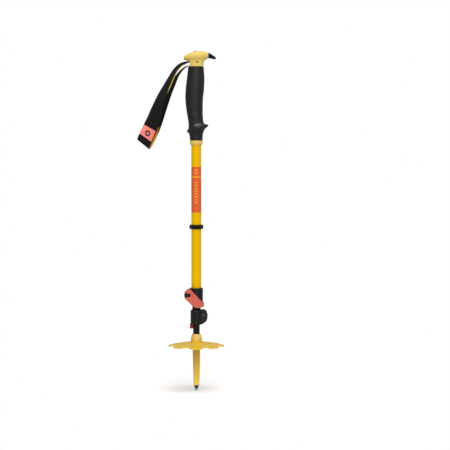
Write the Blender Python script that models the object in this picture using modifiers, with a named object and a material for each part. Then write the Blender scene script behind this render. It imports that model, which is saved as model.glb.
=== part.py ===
"""Three-section ski-touring pole with lever locks, wrist strap and powder basket.

The pole is modelled collapsed for carrying. Its axis is the world Z axis, the beak of the
head points along +X, the wrist strap hangs off towards -X, and the upper lock's lever is on
the -Y side. The origin is on the pole's axis, where the hand closes round the grip.

Sizes are in millimetres. Heights are measured up from the steel point, and the helper
functions turn both into metres round the origin as they make each mesh.
"""

import math

import bmesh
import bpy
from mathutils import Matrix, Vector

# ---------------------------------------------------------------- driving dimensions (mm)

MM = 0.001                       # metres in a millimetre
GRIP_HEIGHT = 520.0              # origin's height above the steel point
GAP = 0.3                        # assembly gap between touching pieces
ROUND_STEPS = 32                 # facets round a turned piece
SMALL_STEPS = 16                 # facets round a small fastener

UPPER_RADIUS, UPPER_BORE = 9.0, 8.3          # 18 mm upper tube
MIDDLE_RADIUS, MIDDLE_BORE = 7.5, 6.8        # 15 mm middle tube
LOWER_RADIUS, LOWER_BORE = 6.0, 5.2          # 12 mm lower tube
UPPER_ENDS = (165.0, 586.0)                  # bottom and top of each tube
MIDDLE_ENDS = (129.0, 568.0)
LOWER_ENDS = (77.0, 544.0)
SLIT_LENGTH = 25.6                           # slit that lets a clamped tube end close

HEAD_TOP, NECK_BOTTOM = 620.0, 590.8
FOAM_BOTTOM, COLLAR_STEP, COLLAR_BOTTOM = 456.9, 450.8, 447.5
STRAP_PIVOT = (-15.5, 0.0, 602.0)            # lip of the head over the strap's slot
STRAP_WIDTH_AT_HEAD, STRAP_WIDTH = 17.0, 28.0
RING_MIDDLE, RING_HEIGHT, RING_RADIUS = 299.2, 7.0, 13.0

BASKET_RADIUS, BASKET_NOTCH, BASKET_LOBES = 51.0, 14.0, 8
HUB_TOP, HUB_BOTTOM, HUB_RADIUS, HUB_BORE = 93.2, 80.0, 10.3, 8.6

# Each lock: its tube, the tube that slides in it, and where it sits. The lower lock faces
# the other way round the pole.
LOCKS = {
    "upper": dict(top=187.9, height=26.8, ear_drop=13.1, ear_radius=12.0, sleeve=12.1,
                  tube=UPPER_RADIUS, inner=MIDDLE_RADIUS, tube_end=UPPER_ENDS[0], turn=0.0),
    "lower": dict(top=151.3, height=29.0, ear_drop=14.4, ear_radius=12.5, sleeve=10.8,
                  tube=MIDDLE_RADIUS, inner=LOWER_RADIUS, tube_end=MIDDLE_ENDS[0],
                  turn=math.pi),
}
EAR_HALF = 6.8                   # half of the two ears' thickness
# Distances out from the sleeve's surface, towards -X: the ear's centre, the draw bolt, the
# lever's pin and the inner end of the lever's slot.
EAR_IN, BOLT_OUT, PIVOT_OUT, SLOT_IN = -1.9, 1.9, 4.8, -2.5
PIVOT_Y = -10.5                  # the pin is parallel to the pole, on the ears' near side
BOLT_RADIUS, LEVER_PIN_RADIUS, CAM_RADIUS = 1.8, 1.2, 2.3
LEVER_SLOT_HEIGHT, LEVER_THICKNESS = 6.4, 2.7
for lock in LOCKS.values():
    lock["level"] = lock["top"] - lock["ear_drop"]
    lock["bolt"] = -lock["sleeve"] - BOLT_OUT
    lock["pivot"] = (-lock["sleeve"] - PIVOT_OUT, PIVOT_Y)

# Where each body turns or slides: the origin of the empty that carries its pieces.
PIVOTS = {
    "upper_section": (0, 0, GRIP_HEIGHT),
    "strap": STRAP_PIVOT,
    "ring": (0, 0, RING_MIDDLE),
    "middle_guide": (0, 0, MIDDLE_ENDS[1]),
    "middle_section": (0, 0, MIDDLE_ENDS[0]),
    "lower_guide": (0, 0, LOWER_ENDS[1]),
    "lower_section": (0, 0, LOWER_ENDS[0]),
    "basket": (0, 0, HUB_BOTTOM),
}


# ---------------------------------------------------------------- helpers

def clear_scene():
    """Remove what a new scene starts with."""
    for item in list(bpy.data.objects):
        bpy.data.objects.remove(item, do_unlink=True)


def at(x, y, height):
    """A point in metres from millimetres and a height above the steel point."""
    return Vector((x, y, height - GRIP_HEIGHT)) * MM


def new_collection(name):
    group = bpy.data.collections.new(name)
    bpy.context.scene.collection.children.link(group)
    return group


def new_material(name, colour, roughness, metallic=0.0):
    material = bpy.data.materials.new(name)
    material.use_nodes = True
    shader = material.node_tree.nodes["Principled BSDF"]
    shader.inputs["Base Color"].default_value = (*colour, 1.0)
    shader.inputs["Roughness"].default_value = roughness
    shader.inputs["Metallic"].default_value = metallic
    material.diffuse_color = (*colour, 1.0)
    return material


def new_body(name, position):
    """An empty on a joint's axis, which carries one rigid body's pieces."""
    empty = bpy.data.objects.new(name + "_frame", None)
    empty.location = at(*position)
    PARTS.objects.link(empty)
    return empty


def add_piece(name, mesh, material, body):
    """A sub-part from a mesh in world space, hung on its body's empty."""
    mesh.transform(Matrix.Translation(-body.location))
    mesh.shade_smooth()
    mesh.set_sharp_from_angle(angle=math.radians(35))
    mesh.materials.clear()
    mesh.materials.append(material)
    piece = bpy.data.objects.new(name, mesh)
    piece.parent = body
    PARTS.objects.link(piece)
    return piece


def mesh_from(bm, name):
    bmesh.ops.recalc_face_normals(bm, faces=bm.faces)
    mesh = bpy.data.meshes.new(name)
    bm.to_mesh(mesh)
    bm.free()
    return mesh


def lofted(name, rings, closed=False):
    """Skin over rings of matching points; the ends are capped unless the path closes."""
    bm = bmesh.new()
    rows = [[bm.verts.new(point) for point in ring] for ring in rings]
    pairs = list(zip(rows, rows[1:] + rows[:1])) if closed else list(zip(rows, rows[1:]))
    for first, second in pairs:
        for i in range(len(first)):
            j = (i + 1) % len(first)
            bm.faces.new((first[i], first[j], second[j], second[i]))
    if not closed:
        bm.faces.new(rows[0])
        bm.faces.new(rows[-1])
    return mesh_from(bm, name)


def turned(name, profile, material, body, steps=ROUND_STEPS):
    """A profile of (radius, height) turned round the pole's axis.

    The profile runs down its outer side and, for a hollow piece, back up its bore.
    """
    mesh = bpy.data.meshes.new(name)
    points = [at(radius, 0.0, height) - body.location for radius, height in profile]
    edges = [(i, i + 1) for i in range(len(points) - 1)]
    if profile[0][0] > 0:
        edges.append((len(points) - 1, 0))
    mesh.from_pydata(points, edges, [])
    mesh.materials.append(material)
    piece = bpy.data.objects.new(name, mesh)
    piece.parent = body
    screw = piece.modifiers.new("turn", "SCREW")
    screw.steps = screw.render_steps = steps
    screw.use_merge_vertices = True
    screw.merge_threshold = 0.00001
    screw.use_smooth_shade = True
    PARTS.objects.link(piece)
    return piece


def cylinder(radius, length, centre, axis="Z", steps=ROUND_STEPS):
    """A solid cylinder's mesh; centre is (x, y, height) in mm."""
    turn = {"X": Matrix.Rotation(math.pi / 2, 4, "Y"),
            "Y": Matrix.Rotation(math.pi / 2, 4, "X"),
            "Z": Matrix.Identity(4)}[axis]
    bm = bmesh.new()
    bmesh.ops.create_cone(bm, cap_ends=True, segments=steps, radius1=radius * MM,
                          radius2=radius * MM, depth=length * MM,
                          matrix=Matrix.Translation(at(*centre)) @ turn)
    return mesh_from(bm, "cylinder")


def box(low, high):
    """A box's mesh between two corners given as (x, y, height) in mm."""
    size = [(b - a) * MM for a, b in zip(low, high)]
    middle = at(*[(a + b) / 2 for a, b in zip(low, high)])
    bm = bmesh.new()
    bmesh.ops.create_cube(bm, size=1.0, matrix=Matrix.Translation(middle)
                          @ Matrix.Diagonal((*size, 1.0)))
    return mesh_from(bm, "box")


def outline_prism(points, low, high, axis):
    """A flat outline made solid between low and high (mm) along its axis.

    An outline across Z holds (x, y); one across Y holds (x, height).
    """
    curve = bpy.data.curves.new("outline", "CURVE")
    curve.dimensions = "2D"
    curve.fill_mode = "BOTH"
    curve.extrude = (high - low) / 2 * MM
    spline = curve.splines.new("POLY")
    spline.points.add(len(points) - 1)
    for target, (u, v) in zip(spline.points, points):
        target.co = (u * MM, v * MM, 0.0, 1.0)
    spline.use_cyclic_u = True
    holder = bpy.data.objects.new("outline", curve)
    CUTTERS.objects.link(holder)
    if axis == "Z":
        holder.matrix_world = Matrix.Translation(at(0, 0, (low + high) / 2))
    else:
        holder.matrix_world = (Matrix.Translation(at(0, (low + high) / 2, 0))
                               @ Matrix.Rotation(math.pi / 2, 4, "X"))
    bpy.context.view_layer.update()
    graph = bpy.context.evaluated_depsgraph_get()
    mesh = bpy.data.meshes.new_from_object(holder.evaluated_get(graph))
    mesh.transform(holder.matrix_world)
    bpy.data.objects.remove(holder)
    bm = bmesh.new()
    bm.from_mesh(mesh)
    bmesh.ops.remove_doubles(bm, verts=bm.verts, dist=0.00001)
    return mesh_from(bm, "prism")


def combine(piece, mesh, operation="DIFFERENCE"):
    """Cut, join or intersect a piece with a mesh given in world space."""
    cutter = bpy.data.objects.new(piece.name + "_cutter", mesh)
    cutter.hide_render = True
    cutter.display_type = "WIRE"
    CUTTERS.objects.link(cutter)
    step = piece.modifiers.new(operation.lower(), "BOOLEAN")
    step.operation = operation
    step.solver = "EXACT"
    step.object = cutter


def soften(piece, width, segments=2, angle=40):
    """Round a piece's sharp edges."""
    bevel = piece.modifiers.new("soften", "BEVEL")
    bevel.width = width * MM
    bevel.segments = segments
    bevel.limit_method = "ANGLE"
    bevel.angle_limit = math.radians(angle)


def egg_ring(rear, front, half_width, height, tilt=0.0, power=2.2, steps=32):
    """A ring round the pole: rear and front are its x limits, tilt raises its front."""
    middle, reach = (rear + front) / 2, (front - rear) / 2
    ring = []
    for i in range(steps):
        angle = 2 * math.pi * i / steps
        c, s = math.cos(angle), math.sin(angle)
        x = middle + reach * math.copysign(abs(c) ** (2 / power), c)
        y = half_width * math.copysign(abs(s) ** (2 / power), s)
        ring.append(at(x, y, height + tilt * x))
    return ring


def arc(centre, radius, start, end, steps):
    """Points on an arc, with its angles in degrees."""
    angles = [math.radians(start + (end - start) * i / steps) for i in range(steps + 1)]
    return [(centre[0] + radius * math.cos(a), centre[1] + radius * math.sin(a))
            for a in angles]


def smooth_route(points, count):
    """Evenly stepped points on a smooth curve through the given ones."""
    padded = [2 * points[0] - points[1], *points, 2 * points[-1] - points[-2]]
    route = []
    for i in range(count + 1):
        place = i / count * (len(points) - 1)
        k = min(int(place), len(points) - 2)
        t = place - k
        a, b, c, d = padded[k:k + 4]
        route.append(0.5 * (2 * b + (c - a) * t + (2 * a - 5 * b + 4 * c - d) * t * t
                            + (3 * b - a - 3 * c + d) * t ** 3))
    return route


# ---------------------------------------------------------------- grip and head

def crown_ring(x, top, bottom, half_width, steps=24):
    """A ring across the head, in the plane of constant x."""
    middle, reach = (top + bottom) / 2, (top - bottom) / 2
    ring = []
    for i in range(steps):
        angle = 2 * math.pi * i / steps
        c, s = math.cos(angle), math.sin(angle)
        ring.append(at(x, half_width * math.copysign(abs(c) ** 0.85, c),
                       middle + reach * math.copysign(abs(s) ** 0.85, s)))
    return ring


def make_head(body):
    crown = [(-22.8, 608.6, 605.2, 3.6), (-20.0, 611.0, 603.2, 8.6),
             (-14.0, 614.6, 601.2, 12.6), (-7.0, 617.9, 599.5, 15.0),
             (0.0, 619.8, 598.5, 15.8), (7.0, HEAD_TOP, 599.0, 15.0),
             (13.0, 618.9, 601.2, 12.8), (17.0, 617.6, 604.9, 10.0), (21.9, 615.5, 607.4, 6.6)]
    head = add_piece("grip_head", lofted("grip_head", [crown_ring(*row) for row in crown]),
                     MATERIALS["pale_yellow"], body)
    neck = [(-12.9, 12.6, 12.9, NECK_BOTTOM), (-13.0, 13.0, 13.3, 597.0),
            (-14.6, 14.6, 14.4, 602.5), (-13.0, 14.0, 13.5, 607.0)]
    combine(head, lofted("neck", [egg_ring(*row, power=3.2) for row in neck]), "UNION")
    slot_low = (-40.0, -STRAP_WIDTH_AT_HEAD / 2 - 0.4, 591.6)
    slot_high = (-1.5, STRAP_WIDTH_AT_HEAD / 2 + 0.4, 603.4)
    combine(head, box(slot_low, slot_high))
    combine(head, cylinder(1.4 + GAP / 2, 40, (2.3, 0, 598.8), "Y", SMALL_STEPS))
    combine(head, outline_prism(ellipse(-1.0, 3.5, 2.9), 618.6, 622.0, "Z"))

    beak = [(22.2, 615.3, 607.5, 6.3), (27.0, 613.3, 606.2, 5.4), (31.5, 610.8, 605.3, 4.3),
            (34.3, 609.1, 605.0, 3.2), (35.5, 607.9, 605.6, 1.7)]
    add_piece("beak_tip", lofted("beak_tip", [crown_ring(*row) for row in beak]),
              MATERIALS["black_rubber"], body)
    cap = outline_prism(ellipse(-1.0, 3.2, 2.6), 618.9, 620.3, "Z")
    soften(add_piece("head_cap", cap, MATERIALS["black_rubber"], body), 0.3)
    pin = cylinder(1.4, 25.6, (2.3, 0, 598.8), "Y", SMALL_STEPS)
    soften(add_piece("strap_pin", pin, MATERIALS["steel"], body), 0.2)
    wedge = lofted("strap_wedge", [egg_ring(-9.8, -1.9, 7.8, 592.0, power=5, steps=20),
                                   egg_ring(-7.8, -1.9, 7.8, 603.0, power=5, steps=20)])
    combine(add_piece("strap_wedge", wedge, MATERIALS["black_plastic"], body),
            box((-20, -3, 595.5), (-6.6, 3, 599.0)))


def ellipse(x, reach_x, reach_y, steps=20):
    return [(x + reach_x * math.cos(2 * math.pi * i / steps),
             reach_y * math.sin(2 * math.pi * i / steps)) for i in range(steps)]


# Rings of the grip: rear x, front x, half width, height at the axis, tilt.
FOAM_RINGS = [(-14.3, 13.8, 13.2, 590.5, 0.0), (-15.2, 14.3, 13.8, 583.0, 0.0),
              (-17.0, 15.1, 14.4, 570.0, 0.0), (-18.6, 14.7, 14.8, 557.0, 0.0),
              (-19.3, 14.1, 14.8, 546.5, 0.0), (-20.0, 12.9, 14.4, 537.0, 0.0),
              (-19.5, 12.4, 14.0, 529.0, 0.0), (-18.8, 12.2, 13.6, 519.0, 0.0),
              (-17.2, 12.1, 13.2, 508.0, 0.0), (-15.3, 12.5, 12.9, 497.0, 0.03),
              (-14.0, 13.2, 12.8, 488.5, 0.12), (-14.2, 16.0, 14.0, 482.0, 0.24),
              (-15.8, 20.6, 15.8, 479.6, 0.273), (-16.8, 21.5, 16.4, 478.4, 0.273),
              (-16.2, 20.4, 15.8, 477.2, 0.273), (-14.0, 15.0, 13.8, 474.6, 0.22),
              (-12.8, 12.6, 12.4, 469.0, 0.08), (-12.0, 11.9, 11.9, 463.0, 0.0),
              (-11.5, 11.6, 11.6, FOAM_BOTTOM + GAP, 0.0)]
SPINE_LEVELS = [(-14.4, 588.5), (-15.9, 578.0), (-17.2, 568.0), (-18.4, 558.0), (-19.1, 548.0)]


def make_grip(body):
    foam = lofted("grip_foam", [egg_ring(*row) for row in FOAM_RINGS])
    foam = add_piece("grip_foam", foam, MATERIALS["black_rubber"], body)
    combine(foam, cylinder(10.6 + GAP, 200, (0, 0, 523)))
    groove = lofted("groove", [[at(-12.6, -1.6, h), at(x - 3, -1.6, h), at(x - 3, 1.6, h),
                                at(-12.6, 1.6, h)] for x, h in
                               [(-16.0, 595.0)] + SPINE_LEVELS[1:-1] + [(-19.5, 544.0)]])
    combine(foam, groove)
    spine = lofted("grip_spine", [[at(-12.9, -1.3, h), at(x - 0.3, -1.3, h),
                                   at(x - 0.3, 1.3, h), at(-12.9, 1.3, h)]
                                  for x, h in SPINE_LEVELS])
    add_piece("grip_spine", spine, MATERIALS["pale_yellow"], body)
    core_bottom = COLLAR_STEP + 7.0
    turned("grip_core", [(10.6, 590.4), (10.6, core_bottom), (9.3, core_bottom),
                         (9.3, 590.4)], MATERIALS["pale_yellow"], body)
    turned("grip_collar",
           [(11.0, FOAM_BOTTOM), (11.7, FOAM_BOTTOM - 0.8), (11.7, 452.2), (11.0, 451.2),
            (10.0, COLLAR_STEP), (9.9, COLLAR_BOTTOM + 0.4), (9.6, COLLAR_BOTTOM),
            (9.2, COLLAR_BOTTOM), (9.2, FOAM_BOTTOM)], MATERIALS["pale_yellow"], body)


# ---------------------------------------------------------------- wrist strap

FRONT_ROUTE = [(-11.5, 0.0, 600.4), (-26.5, 0.0, 596.2), (-38.2, -0.2, 586.4),
               (-47.5, -0.6, 571.8), (-55.6, -1.1, 556.5), (-61.4, -1.7, 541.2),
               (-66.6, -2.3, 525.8), (-71.4, -2.9, 511.1), (-76.8, -3.2, 495.0),
               (-83.3, -3.2, 480.0), (-90.5, -3.0, 464.5), (-97.1, -2.1, 449.9)]
REAR_ROUTE = [(-11.5, 0.0, 593.7), (-18.0, 0.0, 591.6), (-25.5, 0.1, 585.0),
              (-34.8, 0.4, 573.4), (-43.1, 0.9, 560.8), (-50.3, 1.4, 547.0),
              (-56.6, 2.0, 532.5), (-62.9, 2.5, 518.3), (-69.8, 2.8, 504.5),
              (-76.0, 2.9, 490.6), (-82.2, 2.7, 477.0), (-88.4, 2.4, 463.4),
              (-95.0, 2.1, 450.3)]
FRONT_THICKNESS, REAR_THICKNESS = 2.8, 2.4
PATCH_THICKNESS, PATCH_WIDTH = 0.7, 26.0
STRAP_STATIONS = 22
TWIST_START, TWIST_END = 0.16, 0.86          # shares of the strap's length


def strap_frames(route, count=STRAP_STATIONS):
    """Centre, width direction and outward direction at each station of a band."""
    centres = smooth_route([at(*point) for point in route], count)
    frames = []
    for i, centre in enumerate(centres):
        along = centres[min(i + 1, count)] - centres[max(i - 1, 0)]
        along.normalize()
        side = Vector((-along.z, 0.0, along.x)).normalized()
        share = min(max((i / count - TWIST_START) / (TWIST_END - TWIST_START), 0.0), 1.0)
        twist = math.pi / 2 * share * share * (3 - 2 * share)
        across = Vector((0, math.cos(twist), 0)) - side * math.sin(twist)
        outward = across.cross(along).normalized()
        frames.append((i / count, centre, across, outward))
    return frames


def strap_width(share):
    grow = min(share / 0.35, 1.0)
    return STRAP_WIDTH_AT_HEAD + (STRAP_WIDTH - STRAP_WIDTH_AT_HEAD) * grow


def band_rings(frames, half_thickness, width=None, lift=0.0):
    """Eight-sided rings across a band, with its long edges thinned."""
    rings = []
    for share, centre, across, outward in frames:
        half = (width or strap_width(share)) / 2 * MM
        thick = half_thickness * MM
        corners = [(-1, -0.5), (-0.93, -1), (0.93, -1), (1, -0.5),
                   (1, 0.5), (0.93, 1), (-0.93, 1), (-1, 0.5)]
        rings.append([centre + across * half * u + outward * (thick * v + lift * MM)
                      for u, v in corners])
    return rings


def make_strap(body):
    front = strap_frames(FRONT_ROUTE)
    rings = band_rings(front, FRONT_THICKNESS / 2)
    add_piece("strap_front_band", lofted("strap_front_band", rings),
              MATERIALS["webbing"], body)
    rings = band_rings(strap_frames(REAR_ROUTE), REAR_THICKNESS / 2)
    add_piece("strap_rear_band", lofted("strap_rear_band", rings),
              MATERIALS["webbing"], body)
    fine = strap_frames(FRONT_ROUTE, STRAP_STATIONS * 2)
    patch = [frame for frame in fine if 0.79 < frame[0] < 0.93]
    rings = band_rings(patch, PATCH_THICKNESS / 2, PATCH_WIDTH,
                       (FRONT_THICKNESS + PATCH_THICKNESS) / 2 + GAP)
    add_piece("strap_patch", lofted("strap_patch", rings), MATERIALS["salmon"], body)


# ---------------------------------------------------------------- locks

def lock_turn(turn, mesh):
    mesh.transform(Matrix.Rotation(turn, 4, "Z"))
    return mesh


def make_clamp(name, lock, body):
    """The split clamp body with its two ears."""
    top, bottom = lock["top"], lock["top"] - lock["height"]
    sleeve, tube_fit, inner_fit = lock["sleeve"], lock["tube"] + GAP, lock["inner"] + GAP
    clamp = add_piece(name, cylinder(sleeve, top - bottom, (0, 0, (top + bottom) / 2)),
                      MATERIALS["black_plastic"], body)
    soften(clamp, 1.0)
    ear = arc((-sleeve - EAR_IN, lock["level"]), lock["ear_radius"], 90, 262, 20)
    ear += [(-6.5, bottom + 0.6), (0.0, bottom + 0.4), (0.0, top - 1.2)]
    ear = outline_prism(ear, -EAR_HALF, EAR_HALF, "Y")
    combine(clamp, lock_turn(lock["turn"], ear), "UNION")
    combine(clamp, cylinder(tube_fit, 60, (0, 0, lock["tube_end"] - GAP + 30)))
    combine(clamp, cylinder(inner_fit, 80, (0, 0, bottom)))
    slit = box((-30, -0.7, bottom - 5), (-5, 0.7, top + 5))
    combine(clamp, lock_turn(lock["turn"], slit))
    hole = cylinder(BOLT_RADIUS + GAP, 40, (lock["bolt"], 0, lock["level"]), "Y", SMALL_STEPS)
    combine(clamp, lock_turn(lock["turn"], hole))
    pocket = cylinder(3.7, 4, (lock["bolt"], EAR_HALF + 0.1, lock["level"]), "Y", SMALL_STEPS)
    combine(clamp, lock_turn(lock["turn"], pocket))


def make_bolt(name, lock, body):
    """The draw bolt: a shank through both ears and an eye block for the lever's pin."""
    bolt_x, (pivot_x, pivot_y), level = lock["bolt"], lock["pivot"], lock["level"]
    shank = cylinder(BOLT_RADIUS, 17.0, (bolt_x, -1.6, level), "Y", SMALL_STEPS)
    bolt = add_piece(name, lock_turn(lock["turn"], shank), MATERIALS["steel"], body)
    reach = 2.5
    block = arc((pivot_x, pivot_y), reach, 90, 270, 8)
    block += [(bolt_x + 2.0, pivot_y - reach), (bolt_x + 2.6, pivot_y),
              (bolt_x + 2.0, pivot_y + reach - 0.4)]
    eye = outline_prism(block, level - 2.7, level + 2.7, "Z")
    combine(bolt, lock_turn(lock["turn"], eye), "UNION")
    hole = cylinder(LEVER_PIN_RADIUS + GAP / 2, 20, (pivot_x, pivot_y, level), "Z",
                    SMALL_STEPS)
    combine(bolt, lock_turn(lock["turn"], hole))


def make_wear_plate(name, lock, body):
    """The steel plate between the lever's cam and the clamp's near ear."""
    outline = arc((lock["bolt"] - 0.9, lock["level"]), 4.7, 0, 345, 23)
    plate = outline_prism(outline, -EAR_HALF - 0.9, -EAR_HALF - GAP, "Y")
    plate = add_piece(name, lock_turn(lock["turn"], plate), MATERIALS["steel"], body)
    hole = cylinder(BOLT_RADIUS + GAP, 40, (lock["bolt"], 0, lock["level"]), "Y", SMALL_STEPS)
    combine(plate, lock_turn(lock["turn"], hole))


def make_nut(name, lock, body):
    """The slotted tension nut in the far ear."""
    bolt_x, level = lock["bolt"], lock["level"]
    low, high = 5.3, 7.5
    nut = cylinder(3.4, high - low, (bolt_x, (low + high) / 2, level), "Y", SMALL_STEPS + 8)
    nut = add_piece(name, lock_turn(lock["turn"], nut), MATERIALS["steel"], body)
    hole = cylinder(BOLT_RADIUS + GAP / 2, 40, (bolt_x, 0, level), "Y", SMALL_STEPS)
    combine(nut, lock_turn(lock["turn"], hole))
    slot = box((bolt_x - 6, high - 0.9, level - 0.5), (bolt_x + 6, high + 1, level + 0.5))
    combine(nut, lock_turn(lock["turn"], slot))


def make_lever(name, lock, body):
    """The lever: a plate bent round the clamp, cut to its slanting outline."""
    sleeve, level, (pivot_x, pivot_y) = lock["sleeve"], lock["level"], lock["pivot"]
    # Horizontal section: the cam end, the outer face round to the tail, the inner face back.
    section = arc((pivot_x, pivot_y), CAM_RADIUS, 90, 265, 8)
    section += arc((0, 0), sleeve + LEVER_THICKNESS, 243, 325, 10)
    section += arc((0, 0), sleeve + 1.9, 340, 358, 2)
    section += arc((0, 0), sleeve + 0.45, 358, 226, 14)
    section += [(-sleeve - SLOT_IN, pivot_y + CAM_RADIUS)]
    plate = outline_prism(section, level - 27, level + 12.1, "Z")
    lever = add_piece(name, lock_turn(lock["turn"], plate), MATERIALS["coral"], body)
    outline = arc((-sleeve - 0.5, level + 0.4), 10.0, 76, 225, 14)
    for out, down in [(-0.63, 17.7), (-0.2, 22.1), (0.08, 23.3), (0.58, 23.2), (1.03, 20.3),
                      (1.32, 17.3), (1.32, 13.1), (0.9, 12.3)]:
        outline.append((out * sleeve, level - down))
    combine(lever, lock_turn(lock["turn"], outline_prism(outline, -30, 30, "Y")), "INTERSECT")
    half = LEVER_SLOT_HEIGHT / 2
    slot = arc((-sleeve - SLOT_IN - half, level), half, -90, 90, 8)
    slot += [(-40, level + half), (-40, level - half)]
    combine(lever, lock_turn(lock["turn"], outline_prism(slot, -30, 30, "Y")))
    hole = cylinder(LEVER_PIN_RADIUS + GAP, 12.8, (pivot_x, pivot_y, level), "Z", SMALL_STEPS)
    combine(lever, lock_turn(lock["turn"], hole))


def make_lever_pin(name, lock, body):
    pin = cylinder(LEVER_PIN_RADIUS, 12.0, (*lock["pivot"], lock["level"]), "Z", SMALL_STEPS)
    add_piece(name, lock_turn(lock["turn"], pin), MATERIALS["steel"], body)


def turned_point(point, turn):
    x, y, height = point
    return (x * math.cos(turn) - y * math.sin(turn),
            x * math.sin(turn) + y * math.cos(turn), height)


def make_lock(side, body):
    """One whole lock; its lever and its nut move on bodies of their own."""
    lock = LOCKS[side]
    make_clamp(side + "_clamp", lock, body)
    make_bolt(side + "_eye_bolt", lock, body)
    make_wear_plate(side + "_wear_plate", lock, body)
    pivot = (*lock["pivot"], lock["level"])
    lever_body = new_body(side + "_lever", turned_point(pivot, lock["turn"]))
    make_lever(side + "_lever", lock, lever_body)
    make_lever_pin(side + "_lever_pin", lock, lever_body)
    screw = (lock["bolt"], 0.0, lock["level"])
    nut_body = new_body(side + "_nut", turned_point(screw, lock["turn"]))
    make_nut(side + "_tension_nut", lock, nut_body)


# ---------------------------------------------------------------- tubes

def tube(name, radius, bore, ends, material, body):
    low, high = ends
    return turned(name, [(radius, high), (radius, low), (bore, low), (bore, high)],
                  material, body)


def make_upper_section(body):
    shaft = tube("upper_shaft", UPPER_RADIUS, UPPER_BORE, UPPER_ENDS,
                 MATERIALS["yellow_paint"], body)
    low = UPPER_ENDS[0]
    slit = box((-15, -0.6, low - 5), (0, 0.6, low + SLIT_LENGTH))
    slit.transform(Matrix.Rotation(math.radians(40), 4, "Z"))
    combine(shaft, slit)
    tube("upper_liner", UPPER_BORE - 0.15, MIDDLE_RADIUS + 0.2, (low + 1.0, low + 30.0),
         MATERIALS["black_plastic"], body)
    top = UPPER_ENDS[1]
    turned("top_plug", [(0.0, top + 1.8), (8.8, top + 1.8), (8.8, top + GAP),
                        (7.9, top + GAP), (7.9, top - 6.0), (0.0, top - 6.0)],
           MATERIALS["black_plastic"], body)


def make_ring(body):
    half = RING_HEIGHT / 2
    bore = UPPER_RADIUS + GAP
    profile = [(bore + 0.9, RING_MIDDLE + half)]
    profile += [(r, h) for r, h in arc((RING_RADIUS - 1.6, RING_MIDDLE + half - 1.6), 1.6,
                                       90, 0, 4)]
    profile += [(RING_RADIUS - 0.9, RING_MIDDLE)]
    profile += [(r, h) for r, h in arc((RING_RADIUS - 1.6, RING_MIDDLE - half + 1.6), 1.6,
                                       0, -90, 4)]
    profile += [(bore + 0.9, RING_MIDDLE - half), (bore, RING_MIDDLE - half + 0.9),
                (bore, RING_MIDDLE + half - 0.9)]
    turned("keeper_ring", profile, MATERIALS["black_rubber"], body)


def make_guide(name, top, bore, outer_bore, body):
    """The split guide that centres a tube's top end in the next tube."""
    spigot, head = bore - 0.25, outer_bore - 0.25
    turned(name, [(0.0, top + 7.5), (head - 0.8, top + 7.5), (head, top + 6.7),
                  (head, top + GAP), (spigot, top + GAP), (spigot, top - 10.0),
                  (0.0, top - 10.0)], MATERIALS["black_plastic"], body)


def make_middle_section(body):
    shaft = tube("middle_shaft", MIDDLE_RADIUS, MIDDLE_BORE, MIDDLE_ENDS,
                 MATERIALS["black_paint"], body)
    low = MIDDLE_ENDS[0]
    combine(shaft, box((0, -0.6, low - 5), (15, 0.6, low + 22)))
    tube("lower_liner", MIDDLE_BORE - 0.15, LOWER_RADIUS + 0.2, (low + 1.0, low + 26.0),
         MATERIALS["black_plastic"], body)


def make_lower_section(body):
    tube("lower_shaft", LOWER_RADIUS, LOWER_BORE, LOWER_ENDS, MATERIALS["black_paint"], body)
    turned("shaft_end_plug", [(0.0, 97.0), (4.6, 97.0), (4.9, 96.0), (4.9, 77.3),
                              (0.0, 77.3)], MATERIALS["black_plastic"], body)
    shroud = turned(
        "tip_shroud",
        [(6.9, 103.6), (7.7, 103.2), (8.5, 101.0), (9.6, 96.6), (10.2, 93.6),
         (8.3, 93.5), (8.3, 79.7), (7.2, 79.6), (7.2, 75.5), (7.0, 74.9), (6.8, 72.2),
         (6.6, 64.0), (6.3, 46.0), (5.9, 28.0), (5.6, 16.0), (5.4, 9.9), (4.9, 9.2),
         (1.6, 9.2), (1.6, 26.0), (4.4, 76.7), (LOWER_RADIUS + 0.15, 76.7),
         (LOWER_RADIUS + 0.15, 103.6)], MATERIALS["amber_plastic"], body)
    pin_way = cylinder(1.1, 6, (-6.2, 7.0, 96.4), "Y", SMALL_STEPS)
    combine(shroud, pin_way)
    turned("tip_ferrule", [(4.6, 8.9), (4.5, 8.1), (2.6, 3.9), (1.7, 3.7), (1.7, 8.9)],
           MATERIALS["black_plastic"], body, steps=24)
    turned("carbide_tip", [(0.0, 24.0), (1.35, 24.0), (1.35, 3.4), (2.3, 3.4), (2.3, 0.5),
                           (1.9, 0.0), (0.0, 0.0)], MATERIALS["steel"], body, steps=24)


# ---------------------------------------------------------------- powder basket

def basket_reach(angle):
    """The rim's radius: eight broad lobes with round-bottomed notches between them."""
    wave = 0.5 + 0.5 * math.cos(BASKET_LOBES * angle)
    lobe = 1.0 / (1.0 + math.exp(-11.0 * (wave - 0.42)))
    return BASKET_RADIUS - BASKET_NOTCH * (1.0 - lobe)


def basket_height(radius):
    """Height of the basket's upper face: it droops from the hub to the rim."""
    share = max(radius - HUB_RADIUS, 0.0) / (BASKET_RADIUS - HUB_RADIUS)
    return 89.3 - 7.0 * share ** 1.6


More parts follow.
